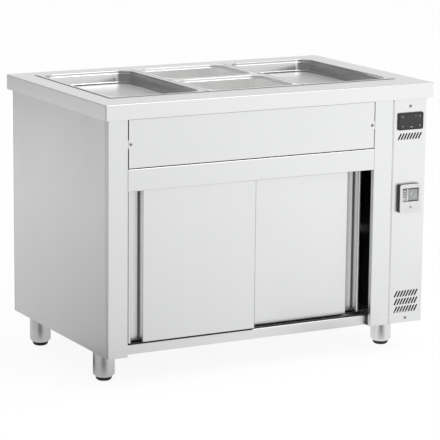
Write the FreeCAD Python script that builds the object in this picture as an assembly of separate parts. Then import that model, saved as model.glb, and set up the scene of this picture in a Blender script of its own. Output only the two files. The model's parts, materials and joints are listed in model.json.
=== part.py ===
import FreeCAD, Part
import math
import os

# Heated serving counter: a three-bay gastronorm well over a hot cupboard with two
# sliding doors and a control column. Millimetres. +X right, +Y back, +Z up.
# The origin lies on the floor under the middle of the whole outline.

# Worktop
TOP_WIDTH = 1110.0
TOP_DEPTH = 710.0
TOP_HEIGHT = 840.0
DECK_SHEET = 1.5
DECK_EDGE = 46.0
DECK_LIP = 34.0
DECK_CORNER = 4.0
DECK_NOSE = 3.0
STIFFENER_HEIGHT = 24.0
STIFFENER_MARGIN = 18.0

# How far the worktop stands over the cabinet on each side
OVER_FRONT = 5.0
OVER_REAR = 30.0
OVER_LEFT = 9.0
OVER_RIGHT = 22.0

# Cabinet shell
SHEET = 1.0
BEND = 1.5
SEAM = 2.0
FOOT_HEIGHT = 95.0
LEFT_POST = 64.0
RIGHT_POST = 66.0
CONTROL_WIDTH = 120.0
SIDE_RETURN = 18.0
INNER_RETURN = 16.0
POST_FLANGE = 20.0
PANEL_FOLD = 15.0
REAR_FLANGE = 22.0
REAR_POST_LEG = 38.0
REAR_POST_SHEET = 2.0

# Front, from the worktop edge down
FASCIA_HEIGHT = 145.0
HEAD_HEIGHT = 65.0
RAIL_HEIGHT = 30.0
RAIL_SETBACK = 28.0
DOOR_FLOOR_GAP = 6.0

# Inner cupboard
LINER_GAP = 30.0
PARTITION_BEHIND = 58.0
CEILING_DROP = 9.0
CEILING_FOLD = 12.0
TRAY_SHEET = 1.5
TRAY_EDGE = 24.0
SHELF_HEIGHT = 250.0
SHELF_FOLD = 24.0
SHELF_SIDE_GAP = 2.0
SHELF_FRONT_GAP = 90.0
SUPPORT_SETBACK = 14.0
SUPPORT_LEG = 22.0

# Sliding doors
DOOR_THICK = 32.0
DOOR_PITCH = 36.0
DOOR_SETBACK = 18.0
DOOR_END_GAP = 9.0
DOOR_OVERLAP = 32.0
PULL_BEAD = 10.0
PULL_WIDTH = 38.0
PULL_DEPTH = 28.0
GROOVE_WIDTH = 8.0
GROOVE_DEPTH = 11.0
GUIDE_SHEET = 3.0
GUIDE_HEIGHT = 12.0

# Top track, hangers and rollers
TRACK_WIDTH = 30.0
TRACK_HEIGHT = 25.0
TRACK_SHEET = 1.5
TRACK_SLOT = 9.0
TRACK_GAP = 4.0
HANGER_INSET = 25.0
HANGER_SHEET = 3.0
HANGER_WIDTH = 24.0
HANGER_BASE = 20.0
ROLLER_RADIUS = 10.0
ROLLER_WIDTH = 7.0
ROLLER_CLEAR = 0.3
AXLE_RADIUS = 3.0
AXLE_CLEAR = 0.05
STEM_TO_ROLLER = 2.5

# Gastronorm pans
GN_WIDTH = 325.0
GN_LENGTH = 530.0
BAYS = 3
PAN_MARGIN = 115.0
PAN_GAP = 1.5
PAN_SHEET = 0.9
PAN_RIM = 12.5
PAN_RIM_DROP = 5.2
PAN_RIM_CORNER = 11.0
PAN_CORNER = 44.0
PAN_TAPER = 5.0
PAN_FOOT = 9.0
SHALLOW = 40.0
DEEP = 100.0

# Well
WELL_GAP = 2.0
LEDGE_DROP = 4.0
LEDGE_WIDTH = 11.0
LEDGE_UNDER = 10.0
TANK_SHEET = 1.2
TANK_DEPTH = 160.0
TANK_CORNER = 20.0
TANK_FOOT = 8.0
BAR_WIDTH = 16.0
BAR_HEIGHT = 20.0
BAR_SHEET = 1.5
REST_GAP = 0.3

# Heating elements
TUBE_RADIUS = 4.25
WELL_LOOPS = 4
WELL_LOOP_PITCH = 95.0
WELL_LOOP_LENGTH = 740.0
CUPBOARD_LOOPS = 2
CUPBOARD_LOOP_PITCH = 60.0
CUPBOARD_LOOP_LENGTH = 560.0
ELEMENT_CLEAR = 10.0
GUARD_HEIGHT = 34.0
GUARD_MARGIN = 45.0

# Control panel
CONTROLLER_WIDTH = 90.0
CONTROLLER_HEIGHT = 53.0
CONTROLLER_PROUD = 5.0
CONTROLLER_CORNER = 5.0
CONTROLLER_BODY = 58.0
CONTROLLER_DROP = 68.0
WINDOW_BORDER = 4.0
WINDOW_RECESS = 1.0
SLOT_COUNT = 8
SLOT_PITCH = 10.4
SLOT_HEIGHT = 15.5
SLOT_LEAN = 8.6
SLOT_WIDTH = 3.2
UPPER_SLOT_DROP = 115.0
LOWER_SLOT_RISE = 43.0
LOWER_SLOT_ROWS = 3
LOWER_SLOT_PITCH = 24.6
SCREW_TOP_DROP = 22.0
SCREW_BOTTOM_RISE = 15.0
CONTROL_SCREW_HEAD = 5.0
CONTROL_SCREW_SHANK = 2.5
FASCIA_SCREW_HEAD = 4.2
FASCIA_SCREW_SHANK = 2.0
FASCIA_SCREW_INSET = 8.5
SCREW_LENGTH = 9.0
SCREW_CLEAR = 0.3
THREAD_CLEAR = 0.05
TAB_SHEET = 2.0
TAB_LENGTH = 20.0
TAB_HEIGHT = 24.0

# Switch
SWITCH_WIDTH = 76.0
SWITCH_HEIGHT = 88.0
SWITCH_PROUD = 14.0
SWITCH_CORNER = 6.0
SWITCH_PLATE = 2.0
SWITCH_DROP = 306.0
SWITCH_BODY = 26.0
SWITCH_WINDOW_WIDTH = 58.0
SWITCH_WINDOW_HEIGHT = 42.0
SWITCH_WINDOW_RISE = 11.0
SWITCH_POCKET = 9.0
ROCKER_WIDTH = 34.0
ROCKER_HEIGHT = 34.0
ROCKER_TILT = 9.0
ROCKER_PIN = 2.0
ROCKER_PIN_REACH = 2.0
ROCKER_GAP = 0.6
PILOT_RADIUS = 5.0
PILOT_PROUD = 4.0
LOCK_RADIUS = 4.0
LOCK_DROP = 27.0
LOCK_PROUD = 0.5

# Electrical chassis and supply entry
CHASSIS_GAP = 6.0
CHASSIS_SHEET = 1.5
CHASSIS_DEPTH = 260.0
TERMINAL_COUNT = 6
TERMINAL_PITCH = 10.0
TERMINAL_RISE = 130.0
CONTACTOR_RISE = 230.0
CONTACTOR_HEIGHT = 80.0
CONTACTOR_WIDTH = 45.0
CONTACTOR_DEPTH = 52.5
CONTACTOR_NOSE = 18.0
CONTACTOR_NOSE_HEIGHT = 44.0
RAIL_LENGTH = 80.0
RAIL_WIDTH = 35.0
RAIL_RISE = 7.5
GLAND_RISE = 70.0
GLAND_BORE = 5.5
GLAND_THREAD = 10.0
GLAND_HEX = 14.0
GLAND_OUT = 20.0
GLAND_IN = 10.0
GLAND_NUT = 5.0
PROBE_RADIUS = 3.0
PROBE_LENGTH = 60.0
PROBE_HEIGHT = 420.0

# Feet
FOOT_RADIUS = 32.5
FOOT_WALL = 1.5
FOOT_TIP_RADIUS = 24.5
FOOT_TAPER = 8.0
PAD_HEIGHT = 11.5
PAD_TREAD_RADIUS = 16.5
PAD_SHOULDER = 4.0
FOOT_PLATE = 84.0
FOOT_PLATE_SHEET = 2.0
FOOT_NUT_RISE = 50.0
FOOT_NUT_SHEET = 8.0
SPINDLE_RADIUS = 7.0
SPINDLE_CLEAR = 0.05
SPINDLE_RISE = 75.0
FOOT_INSET_LEFT = 46.0
FOOT_INSET_RIGHT = 68.0
FOOT_INSET_FRONT = 125.0
FOOT_INSET_REAR = 92.0

# Places worked out from the sizes above
STAND_OUT = SWITCH_PROUD + LOCK_PROUD - OVER_FRONT
Y_FRONT = -(TOP_DEPTH + STAND_OUT) / 2 + STAND_OUT
Y_REAR = Y_FRONT + TOP_DEPTH
X_LEFT = -TOP_WIDTH / 2
X_RIGHT = TOP_WIDTH / 2
BODY_LEFT = X_LEFT + OVER_LEFT
BODY_RIGHT = X_RIGHT - OVER_RIGHT
BODY_FRONT = Y_FRONT + OVER_FRONT
BODY_BACK = Y_REAR - OVER_REAR
BODY_BOTTOM = FOOT_HEIGHT
BODY_TOP = TOP_HEIGHT - DECK_EDGE
OPEN_LEFT = BODY_LEFT + LEFT_POST
CONTROL_LEFT = BODY_RIGHT - CONTROL_WIDTH
OPEN_RIGHT = CONTROL_LEFT - RIGHT_POST
OPEN_WIDTH = OPEN_RIGHT - OPEN_LEFT
CONTROL_MID = (CONTROL_LEFT + SEAM + BODY_RIGHT) / 2
FASCIA_BOTTOM = BODY_TOP - FASCIA_HEIGHT
HEAD_BOTTOM = FASCIA_BOTTOM - HEAD_HEIGHT
RAIL_TOP = BODY_BOTTOM + RAIL_HEIGHT
RAIL_FRONT = BODY_FRONT + RAIL_SETBACK
TRAY_TOP = BODY_BOTTOM + TRAY_SHEET
TRAY_FRONT = RAIL_FRONT + SHEET
TRAY_BACK = BODY_BACK - SHEET
POST_BACK = BODY_FRONT + INNER_RETURN
DOOR_WIDTH = (OPEN_WIDTH - 2 * DOOR_END_GAP + DOOR_OVERLAP) / 2
DOOR_TRAVEL = OPEN_WIDTH - 2 * DOOR_END_GAP - DOOR_WIDTH
DOOR_BOTTOM = RAIL_TOP + DOOR_FLOOR_GAP
TRACK_TOP = FASCIA_BOTTOM - SHEET
TRACK_BOTTOM = TRACK_TOP - TRACK_HEIGHT
DOOR_TOP = TRACK_BOTTOM - TRACK_GAP
AXLE_HEIGHT = TRACK_BOTTOM + TRACK_SHEET + ROLLER_CLEAR + ROLLER_RADIUS
FRONT_DOOR_FACE = BODY_FRONT + DOOR_SETBACK
REAR_DOOR_FACE = FRONT_DOOR_FACE + DOOR_PITCH
DOOR_ZONE_BACK = REAR_DOOR_FACE + DOOR_THICK + 3 * SEAM
LINER_LEFT = BODY_LEFT + LINER_GAP
LINER_BACK = BODY_BACK - LINER_GAP
PARTITION_LEFT = OPEN_RIGHT + PARTITION_BEHIND
CEILING = FASCIA_BOTTOM - CEILING_DROP
WELL_LEFT = -BAYS * GN_WIDTH / 2
WELL_FRONT = Y_FRONT + PAN_MARGIN
WELL_BACK = WELL_FRONT + GN_LENGTH
WELL_RIGHT = WELL_LEFT + BAYS * GN_WIDTH
LEDGE_TOP = TOP_HEIGHT - LEDGE_DROP
PAN_TOP = LEDGE_TOP + REST_GAP + PAN_RIM_DROP
TANK_INSET = LEDGE_WIDTH - WELL_GAP
TANK_FLOOR = LEDGE_TOP - TANK_DEPTH
TANK_UNDER = TANK_FLOOR - TANK_SHEET
SWITCH_MID = BODY_TOP - SWITCH_DROP
CONTROLLER_MID = BODY_TOP - CONTROLLER_DROP
SWITCH_BACK = BODY_FRONT - SWITCH_PROUD + SWITCH_PLATE
SUPPORT_TOP = SHELF_HEIGHT + RAIL_TOP - SHELF_FOLD


def vec(x, y, z):
    return FreeCAD.Vector(x, y, z)


def box(x0, y0, z0, x1, y1, z1):
    """A block between two corners."""
    return Part.makeBox(x1 - x0, y1 - y0, z1 - z0, vec(x0, y0, z0))


def join(solids):
    """One solid out of touching or overlapping solids."""
    whole = solids[0]
    for solid in solids[1:]:
        whole = whole.fuse(solid)
    return whole.removeSplitter()


def rod(x, y, z, radius, length, direction):
    """A cylinder that starts at a point."""
    return Part.makeCylinder(radius, length, vec(x, y, z), direction)


ALONG_X = vec(1, 0, 0)
ALONG_Y = vec(0, 1, 0)
ALONG_Z = vec(0, 0, 1)


def place_xy(a, b):
    return vec(a, b, 0)


def place_yz(a, b):
    return vec(0, a, b)


def place_xz(a, b):
    return vec(a, 0, b)


def run_edges(points, radii, place):
    """Lines through the points, with a tangent arc at each inner point."""
    edges = []
    here = points[0]
    for i in range(1, len(points) - 1):
        before = unit(points[i], points[i - 1])
        after = unit(points[i], points[i + 1])
        half = math.acos(max(-1.0, min(1.0, before[0] * after[0] + before[1] * after[1]))) / 2
        cut = radii[i - 1] / math.tan(half)
        start = step(points[i], before, cut)
        end = step(points[i], after, cut)
        middle_way = unit((0.0, 0.0), (before[0] + after[0], before[1] + after[1]))
        middle = step(points[i], middle_way, radii[i - 1] / math.sin(half) - radii[i - 1])
        edges.append(Part.LineSegment(place(*here), place(*start)).toShape())
        edges.append(Part.Arc(place(*start), place(*middle), place(*end)).toShape())
        here = end
    edges.append(Part.LineSegment(place(*here), place(*points[-1])).toShape())
    return edges


def unit(a, b):
    """The direction from a to b."""
    length = math.hypot(b[0] - a[0], b[1] - a[1])
    return ((b[0] - a[0]) / length, (b[1] - a[1]) / length)


def step(point, way, distance):
    return (point[0] + way[0] * distance, point[1] + way[1] * distance)


def folded(points, sheet, place, start, end, bends=None):
    """Sheet metal folded along a path, on the path's left, stretched from start to end."""
    bends = bends or [BEND] * (len(points) - 2)
    ways = [unit(points[i], points[i + 1]) for i in range(len(points) - 1)]
    sides = [(-way[1] * sheet, way[0] * sheet) for way in ways]
    left = [(points[0][0] + sides[0][0], points[0][1] + sides[0][1])]
    path_radii = []
    left_radii = []
    for i in range(1, len(points) - 1):
        turn = ways[i - 1][0] * ways[i][1] - ways[i - 1][1] * ways[i][0]
        left.append((points[i][0] + sides[i - 1][0] + sides[i][0],
                     points[i][1] + sides[i - 1][1] + sides[i][1]))
        path_radii.append(bends[i - 1] + (sheet if turn > 0 else 0.0))
        left_radii.append(bends[i - 1] + (0.0 if turn > 0 else sheet))
    left.append((points[-1][0] + sides[-1][0], points[-1][1] + sides[-1][1]))
    edges = run_edges(points, path_radii, place)
    edges.append(Part.LineSegment(place(*points[-1]), place(*left[-1])).toShape())
    edges += run_edges(left[::-1], left_radii[::-1], place)
    edges.append(Part.LineSegment(place(*left[0]), place(*points[0])).toShape())
    face = Part.Face(Part.Wire(edges))
    axis = place(1, 0).cross(place(0, 1))
    axis = vec(abs(axis.x), abs(axis.y), abs(axis.z))
    face.translate(axis * start)
    return face.extrude(axis * (end - start))


def on_line(edge, x, y):
    """Whether an edge lies on the upright line at x and y."""
    bounds = edge.BoundBox
    spread = max(abs(bounds.XMin - x), abs(bounds.XMax - x),
                 abs(bounds.YMin - y), abs(bounds.YMax - y))
    return spread < 1e-6


def round_plate(x0, y0, x1, y1, z0, z1, radius):
    """An upright block with its four standing edges rounded."""
    block = box(x0, y0, z0, x1, y1, z1)
    edges = [e for e in block.Edges if abs(e.BoundBox.ZLength - (z1 - z0)) < 1e-6]
    return block.makeFillet(radius, edges)


def round_plate_front(x0, z0, x1, z1, y0, y1, radius):
    """A block on the front with its four edges along Y rounded."""
    block = box(x0, y0, z0, x1, y1, z1)
    edges = [e for e in block.Edges if abs(e.BoundBox.YLength - (y1 - y0)) < 1e-6]
    return block.makeFillet(radius, edges)


def tray(x0, y0, z0, x1, y1, z1, sheet):
    """A sheet tray, open at the top."""
    return box(x0, y0, z0, x1, y1, z1).cut(
        box(x0 + sheet, y0 + sheet, z0 + sheet, x1 - sheet, y1 - sheet, z1 + sheet))


def lid(x0, y0, z0, x1, y1, z1, sheet):
    """A sheet tray, open at the bottom."""
    return box(x0, y0, z0, x1, y1, z1).cut(
        box(x0 + sheet, y0 + sheet, z0 - sheet, x1 - sheet, y1 - sheet, z1 - sheet))


def revolved(x, y, outline):
    """A solid turned about an upright axis from (radius, height) points."""
    points = [vec(x + r, y, z) for r, z in outline]
    face = Part.Face(Part.makePolygon(points + points[:1]))
    return face.revolve(vec(x, y, 0), ALONG_Z, 360)


# ---------------------------------------------------------------- worktop and well

def worktop():
    """Deck with turned-down edges, an inward lip and the cut-out for the pans."""
    block = round_plate(X_LEFT, Y_FRONT, X_RIGHT, Y_REAR, BODY_TOP, TOP_HEIGHT, DECK_CORNER)
    nose = [e for e in block.Edges
            if e.BoundBox.ZMin > TOP_HEIGHT - 1e-6]
    block = block.makeFillet(DECK_NOSE, nose)
    hollow = round_plate(X_LEFT + DECK_SHEET, Y_FRONT + DECK_SHEET,
                         X_RIGHT - DECK_SHEET, Y_REAR - DECK_SHEET,
                         BODY_TOP + DECK_SHEET, TOP_HEIGHT - DECK_SHEET,
                         DECK_CORNER - DECK_SHEET)
    block = block.cut(hollow)
    block = block.cut(box(X_LEFT + DECK_LIP, Y_FRONT + DECK_LIP, BODY_TOP - DECK_SHEET,
                          X_RIGHT - DECK_LIP, Y_REAR - DECK_LIP, BODY_TOP + 2 * DECK_SHEET))
    collar = box(WELL_LEFT - WELL_GAP - DECK_SHEET, WELL_FRONT - WELL_GAP - DECK_SHEET, LEDGE_TOP,
                 WELL_RIGHT + WELL_GAP + DECK_SHEET, WELL_BACK + WELL_GAP + DECK_SHEET,
                 TOP_HEIGHT - DECK_SHEET / 2)
    hole = box(WELL_LEFT - WELL_GAP, WELL_FRONT - WELL_GAP, LEDGE_TOP - DECK_SHEET,
               WELL_RIGHT + WELL_GAP, WELL_BACK + WELL_GAP, TOP_HEIGHT + DECK_SHEET)
    return block.fuse(collar).cut(hole).removeSplitter()


def deck_stiffeners():
    """Two channels under the deck, in front of the well and behind it."""
    top = TOP_HEIGHT - DECK_SHEET
    bottom = top - STIFFENER_HEIGHT
    x0 = X_LEFT + DECK_LIP + STIFFENER_MARGIN
    x1 = X_RIGHT - DECK_LIP - STIFFENER_MARGIN
    front = (Y_FRONT + STIFFENER_MARGIN, WELL_FRONT - LEDGE_UNDER - STIFFENER_MARGIN)
    rear = (WELL_BACK + LEDGE_UNDER + STIFFENER_MARGIN / 2, Y_REAR - STIFFENER_MARGIN / 2)
    bars = []
    for y0, y1 in (front, rear):
        bars.append(folded([(y1, bottom), (y1, top), (y0, top), (y0, bottom)],
                           DECK_SHEET, place_yz, x0, x1))
    return Part.makeCompound(bars)


def tank_block(grow, floor, top, foot):
    """The tank's rounded inner space, larger by grow on each side."""
    x0 = WELL_LEFT + TANK_INSET - grow
    y0 = WELL_FRONT + TANK_INSET - grow
    x1 = WELL_RIGHT - TANK_INSET + grow
    y1 = WELL_BACK - TANK_INSET + grow
    block = round_plate(x0, y0, x1, y1, floor, top, TANK_CORNER + grow)
    low = [e for e in block.Edges if e.BoundBox.ZMax < floor + 1e-6]
    return block.makeFillet(foot, low)


def well_tank():
    """Tank with a rim that lies under the deck and carries the pans."""
    under = WELL_GAP + LEDGE_UNDER
    rim = box(WELL_LEFT - under, WELL_FRONT - under, LEDGE_TOP - TANK_SHEET,
              WELL_RIGHT + under, WELL_BACK + under, LEDGE_TOP)
    outer = tank_block(TANK_SHEET, TANK_UNDER, LEDGE_TOP - TANK_SHEET / 2, TANK_FOOT + TANK_SHEET)
    inner = tank_block(0.0, TANK_FLOOR, LEDGE_TOP + TANK_SHEET, TANK_FOOT)
    return rim.fuse(outer).cut(inner).removeSplitter()


def bay_edge(bay):
    """Where one bay ends and the next starts."""
    return WELL_LEFT + bay * GN_WIDTH


def pan_bars():
    """Bars between the bays, and a cross bar between the two half pans."""
    low = LEDGE_TOP - BAR_HEIGHT
    front = WELL_FRONT + TANK_INSET
    back = WELL_BACK - TANK_INSET
    half = BAR_WIDTH / 2
    bars = []
    for bay in range(1, BAYS):
        x = bay_edge(bay)
        bars.append(folded([(x + half, low), (x + half, LEDGE_TOP), (x - half, LEDGE_TOP),
                            (x - half, low)], BAR_SHEET, place_xz, front, back))
    y = (WELL_FRONT + WELL_BACK) / 2
    bars.append(folded([(y + half, low), (y + half, LEDGE_TOP), (y - half, LEDGE_TOP),
                        (y - half, low)], BAR_SHEET, place_yz,
                       bay_edge(1) + half, bay_edge(2) - half))
    return Part.makeCompound(bars)


def tapered_block(x0, y0, x1, y1, top, depth, corner, taper, foot):
    """A rounded block that narrows towards its bottom."""
    rings = []
    for z, inset in ((top, 0.0), (top - depth, taper)):
        plate = round_plate(x0 + inset, y0 + inset, x1 - inset, y1 - inset, z, z + 1.0,
                            corner - inset / 2)
        face = [f for f in plate.Faces if f.BoundBox.ZMax < z + 1e-6][0]
        rings.append(face.OuterWire)
    block = Part.makeLoft(rings, True, True)
    low = [e for e in block.Edges if e.BoundBox.ZMax < top - depth + 1e-6]
    return block.makeFillet(foot, low)


def pan(x0, y0, length, depth):
    """One gastronorm pan in its bay, with a turned-down rim."""
    rx0 = x0 + PAN_GAP / 2
    ry0 = y0 + PAN_GAP / 2
    rx1 = x0 + GN_WIDTH - PAN_GAP / 2
    ry1 = y0 + length - PAN_GAP / 2
    plate = round_plate(rx0, ry0, rx1, ry1, PAN_TOP - PAN_RIM_DROP, PAN_TOP, PAN_RIM_CORNER)
    under = round_plate(rx0 + PAN_SHEET, ry0 + PAN_SHEET, rx1 - PAN_SHEET, ry1 - PAN_SHEET,
                        PAN_TOP - PAN_RIM_DROP - 1.0, PAN_TOP - PAN_SHEET,
                        PAN_RIM_CORNER - PAN_SHEET)
    bx0 = rx0 + PAN_RIM
    by0 = ry0 + PAN_RIM
    bx1 = rx1 - PAN_RIM
    by1 = ry1 - PAN_RIM
    outer = tapered_block(bx0 - PAN_SHEET, by0 - PAN_SHEET, bx1 + PAN_SHEET, by1 + PAN_SHEET,
                          PAN_TOP - PAN_SHEET / 2, depth + PAN_SHEET / 2,
                          PAN_CORNER + PAN_SHEET, PAN_TAPER, PAN_FOOT + PAN_SHEET)
    inner = tapered_block(bx0, by0, bx1, by1, PAN_TOP + 1.0, depth + 1.0 - PAN_SHEET,
                          PAN_CORNER, PAN_TAPER, PAN_FOOT)
    return plate.cut(under).fuse(outer).cut(inner).removeSplitter()


def serpentine(x0, y0, z, length, pitch, loops):
    """A heating element: straight runs along X joined by half turns."""
    edges = []
    runs = 2 * loops
    for i in range(runs):
        y = y0 + i * pitch / 2
        ends = (x0, x0 + length) if i % 2 == 0 else (x0 + length, x0)
        edges.append(Part.LineSegment(vec(ends[0], y, z), vec(ends[1], y, z)).toShape())
        if i < runs - 1:
            out = pitch / 4 if i % 2 == 0 else -pitch / 4
            edges.append(Part.Arc(vec(ends[1], y, z), vec(ends[1] + out, y + pitch / 4, z),
                                  vec(ends[1], y + pitch / 2, z)).toShape())
    path = Part.Wire(edges)
    circle = Part.Wire(Part.makeCircle(TUBE_RADIUS, vec(x0, y0, z), ALONG_X))
    return path.makePipeShell([circle], True, False)


def well_heater():
    """Element under the tank, held up against it by straps."""
    span = (2 * WELL_LOOPS - 1) * WELL_LOOP_PITCH / 2
    y0 = (WELL_FRONT + WELL_BACK - span) / 2
    z = TANK_UNDER - REST_GAP - TUBE_RADIUS
    x0 = -WELL_LOOP_LENGTH / 2
    solids = [serpentine(x0, y0, z, WELL_LOOP_LENGTH, WELL_LOOP_PITCH, WELL_LOOPS)]
    for x in (x0 + WELL_LOOP_LENGTH / 4, x0 + 3 * WELL_LOOP_LENGTH / 4):
        low = z - TUBE_RADIUS - REST_GAP
        edge = TUBE_RADIUS + BAR_WIDTH
        solids.append(folded([(y0 - edge - BAR_WIDTH, TANK_UNDER - BAR_SHEET),
                              (y0 - edge, TANK_UNDER - BAR_SHEET), (y0 - edge, low - BAR_SHEET),
                              (y0 + span + edge, low - BAR_SHEET),
                              (y0 + span + edge, TANK_UNDER - BAR_SHEET),
                              (y0 + span + edge + BAR_WIDTH, TANK_UNDER - BAR_SHEET)],
                             BAR_SHEET, place_yz, x - BAR_WIDTH / 2, x + BAR_WIDTH / 2))
    return Part.makeCompound(solids)


# ---------------------------------------------------------------- cabinet shell

def fascia_tab(x0, x1):
    """A tab behind the fascia that takes its screw."""
    z = (FASCIA_BOTTOM + BODY_TOP) / 2
    tab = box(x0, BODY_FRONT + SHEET, z - TAB_HEIGHT / 2, x1,
              BODY_FRONT + SHEET + TAB_SHEET, z + TAB_HEIGHT / 2)
    return tab


def fascia_screw_x():
    """The two fascia screws, left and right."""
    return (OPEN_LEFT + FASCIA_SCREW_INSET, OPEN_RIGHT - FASCIA_SCREW_INSET)


def screw_hole(x, z, radius):
    return rod(x, BODY_FRONT - SHEET, z, radius, SCREW_LENGTH + 2 * SHEET, ALONG_Y)


def left_front_post():
    """Left post: side return, face, inner return and a stiffening flange."""
    post = folded([(BODY_LEFT, BODY_FRONT + SIDE_RETURN), (BODY_LEFT, BODY_FRONT),
                   (OPEN_LEFT, BODY_FRONT), (OPEN_LEFT, POST_BACK),
                   (OPEN_LEFT - POST_FLANGE, POST_BACK)],
                  SHEET, place_xy, BODY_BOTTOM, BODY_TOP)
    tab = fascia_tab(OPEN_LEFT - SHEET, OPEN_LEFT + TAB_LENGTH)
    z = (FASCIA_BOTTOM + BODY_TOP) / 2
    hole = screw_hole(fascia_screw_x()[0], z, FASCIA_SCREW_SHANK + THREAD_CLEAR)
    return post.fuse(tab.cut(hole)).removeSplitter()


def right_front_post():
    """Right post, between the door opening and the control panel."""
    post = folded([(OPEN_RIGHT + POST_FLANGE, POST_BACK), (OPEN_RIGHT, POST_BACK),
                   (OPEN_RIGHT, BODY_FRONT), (CONTROL_LEFT, BODY_FRONT),
                   (CONTROL_LEFT, BODY_FRONT + SIDE_RETURN)],
                  SHEET, place_xy, BODY_BOTTOM, BODY_TOP)
    tab = fascia_tab(OPEN_RIGHT - TAB_LENGTH, OPEN_RIGHT + SHEET)
    z = (FASCIA_BOTTOM + BODY_TOP) / 2
    hole = screw_hole(fascia_screw_x()[1], z, FASCIA_SCREW_SHANK + THREAD_CLEAR)
    return post.fuse(tab.cut(hole)).removeSplitter()


def rear_posts():
    """Two angles inside the rear corners."""
    angles = []
    for corner, way in ((BODY_LEFT + SHEET, 1), (BODY_RIGHT - SHEET, -1)):
        back = TRAY_BACK
        leg = box(min(corner, corner + way * REAR_POST_LEG), back - REAR_POST_SHEET, TRAY_TOP,
                  max(corner, corner + way * REAR_POST_LEG), back, BODY_TOP - SHEET)
        side = box(min(corner, corner + way * REAR_POST_SHEET), back - REAR_POST_LEG, TRAY_TOP,
                   max(corner, corner + way * REAR_POST_SHEET), back, BODY_TOP - SHEET)
        angle = join([leg, side])
        heel = [e for e in angle.Edges
                if on_line(e, corner, back)]
        angles.append(angle.makeFillet(BEND, heel))
    return Part.makeCompound(angles)


def side_panel(outer, inward):
    """An outer side skin with folds at its front, top, bottom and rear."""
    front = BODY_FRONT + SIDE_RETURN + SEAM / 2
    path = [(outer + inward * REAR_FLANGE, BODY_BACK), (outer, BODY_BACK), (outer, front),
            (outer + inward * PANEL_FOLD, front)]
    if inward < 0:
        path = path[::-1]
    skin = folded(path, SHEET, place_xy, BODY_BOTTOM, BODY_TOP)
    x0 = min(outer, outer + inward * PANEL_FOLD)
    x1 = max(outer, outer + inward * PANEL_FOLD)
    if inward > 0:
        x0 += SHEET / 2
    else:
        x1 -= SHEET / 2
    fold = box(x0, front + BEND + SHEET, BODY_TOP - SHEET, x1, BODY_BACK - BEND - SHEET, BODY_TOP)
    return join([skin, fold])


def left_side_panel():
    return side_panel(BODY_LEFT, 1)


def right_side_panel():
    return side_panel(BODY_RIGHT, -1)


def back_panel():
    """Flat back sheet over the rear flanges, with the hole for the supply entry."""
    sheet = box(BODY_LEFT, BODY_BACK, BODY_BOTTOM, BODY_RIGHT, BODY_BACK + SHEET, BODY_TOP)
    return sheet.cut(rod(CONTROL_MID, BODY_BACK - SHEET, BODY_BOTTOM + GLAND_RISE,
                         GLAND_THREAD + THREAD_CLEAR, 3 * SHEET, ALONG_Y))


def fascia_panel():
    """Upper front panel between the posts, held by two screws."""
    x0 = OPEN_LEFT + SEAM
    x1 = OPEN_RIGHT - SEAM
    low = FASCIA_BOTTOM + SEAM
    back = BODY_FRONT + PANEL_FOLD
    panel = folded([(back, BODY_TOP), (BODY_FRONT, BODY_TOP), (BODY_FRONT, low), (back, low)],
                   SHEET, place_yz, x0, x1)
    z = (FASCIA_BOTTOM + BODY_TOP) / 2
    for x in fascia_screw_x():
        panel = panel.cut(screw_hole(x, z, FASCIA_SCREW_SHANK + SCREW_CLEAR))
    return panel


def head_rail():
    """Rail over the doors; its top flange carries the two tracks."""
    back = DOOR_ZONE_BACK
    fold = BODY_FRONT + INNER_RETURN - SEAM
    return folded([(back, FASCIA_BOTTOM), (BODY_FRONT, FASCIA_BOTTOM), (BODY_FRONT, HEAD_BOTTOM),
                   (fold, HEAD_BOTTOM)], SHEET, place_yz, OPEN_LEFT, OPEN_RIGHT)


def bottom_rail():
    """Rail under the doors; its top flange carries the door guides."""
    return folded([(DOOR_ZONE_BACK, RAIL_TOP), (RAIL_FRONT, RAIL_TOP), (RAIL_FRONT, BODY_BOTTOM)],
                  SHEET, place_yz, OPEN_LEFT + SEAM / 2, OPEN_RIGHT - SEAM / 2)


def base_tray():
    """Bottom of the cabinet, with turned-up edges; the feet bolt to it."""
    main = tray(BODY_LEFT + SHEET, TRAY_FRONT, BODY_BOTTOM, BODY_RIGHT - SHEET, TRAY_BACK - SEAM,
                BODY_BOTTOM + TRAY_EDGE, TRAY_SHEET).cut(rear_corner_room())
    spans = ((BODY_LEFT + PANEL_FOLD + SEAM, OPEN_LEFT, POST_BACK),
             (OPEN_RIGHT, CONTROL_LEFT - SEAM, POST_BACK),
             (CONTROL_LEFT + 2 * SEAM, BODY_RIGHT - PANEL_FOLD - SEAM, BODY_FRONT + SEAM))
    ears = [box(x0, y0, BODY_BOTTOM, x1, TRAY_FRONT + TRAY_SHEET, TRAY_TOP)
            for x0, x1, y0 in spans]
    return join([main] + ears)


def rear_corner_room():
    """Room for the rear angles at the tray's rear edge."""
    solids = []
    for corner, way in ((BODY_LEFT + SHEET, 1), (BODY_RIGHT - SHEET, -1)):
        solids.append(box(min(corner, corner + way * REAR_POST_LEG), TRAY_BACK - REAR_POST_LEG,
                          TRAY_TOP, max(corner, corner + way * REAR_POST_LEG), BODY_BACK,
                          BODY_BOTTOM + 2 * TRAY_EDGE))
    return Part.makeCompound(solids)


# ---------------------------------------------------------------- inside the cupboard

def cupboard_floor():
    """Raised floor of the hot cupboard."""
    back = LINER_BACK - SEAM
    return folded([(back, TRAY_TOP), (back, RAIL_TOP), (DOOR_ZONE_BACK, RAIL_TOP),
                   (DOOR_ZONE_BACK, TRAY_TOP)], SHEET, place_yz, LINER_LEFT, PARTITION_LEFT)


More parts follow.
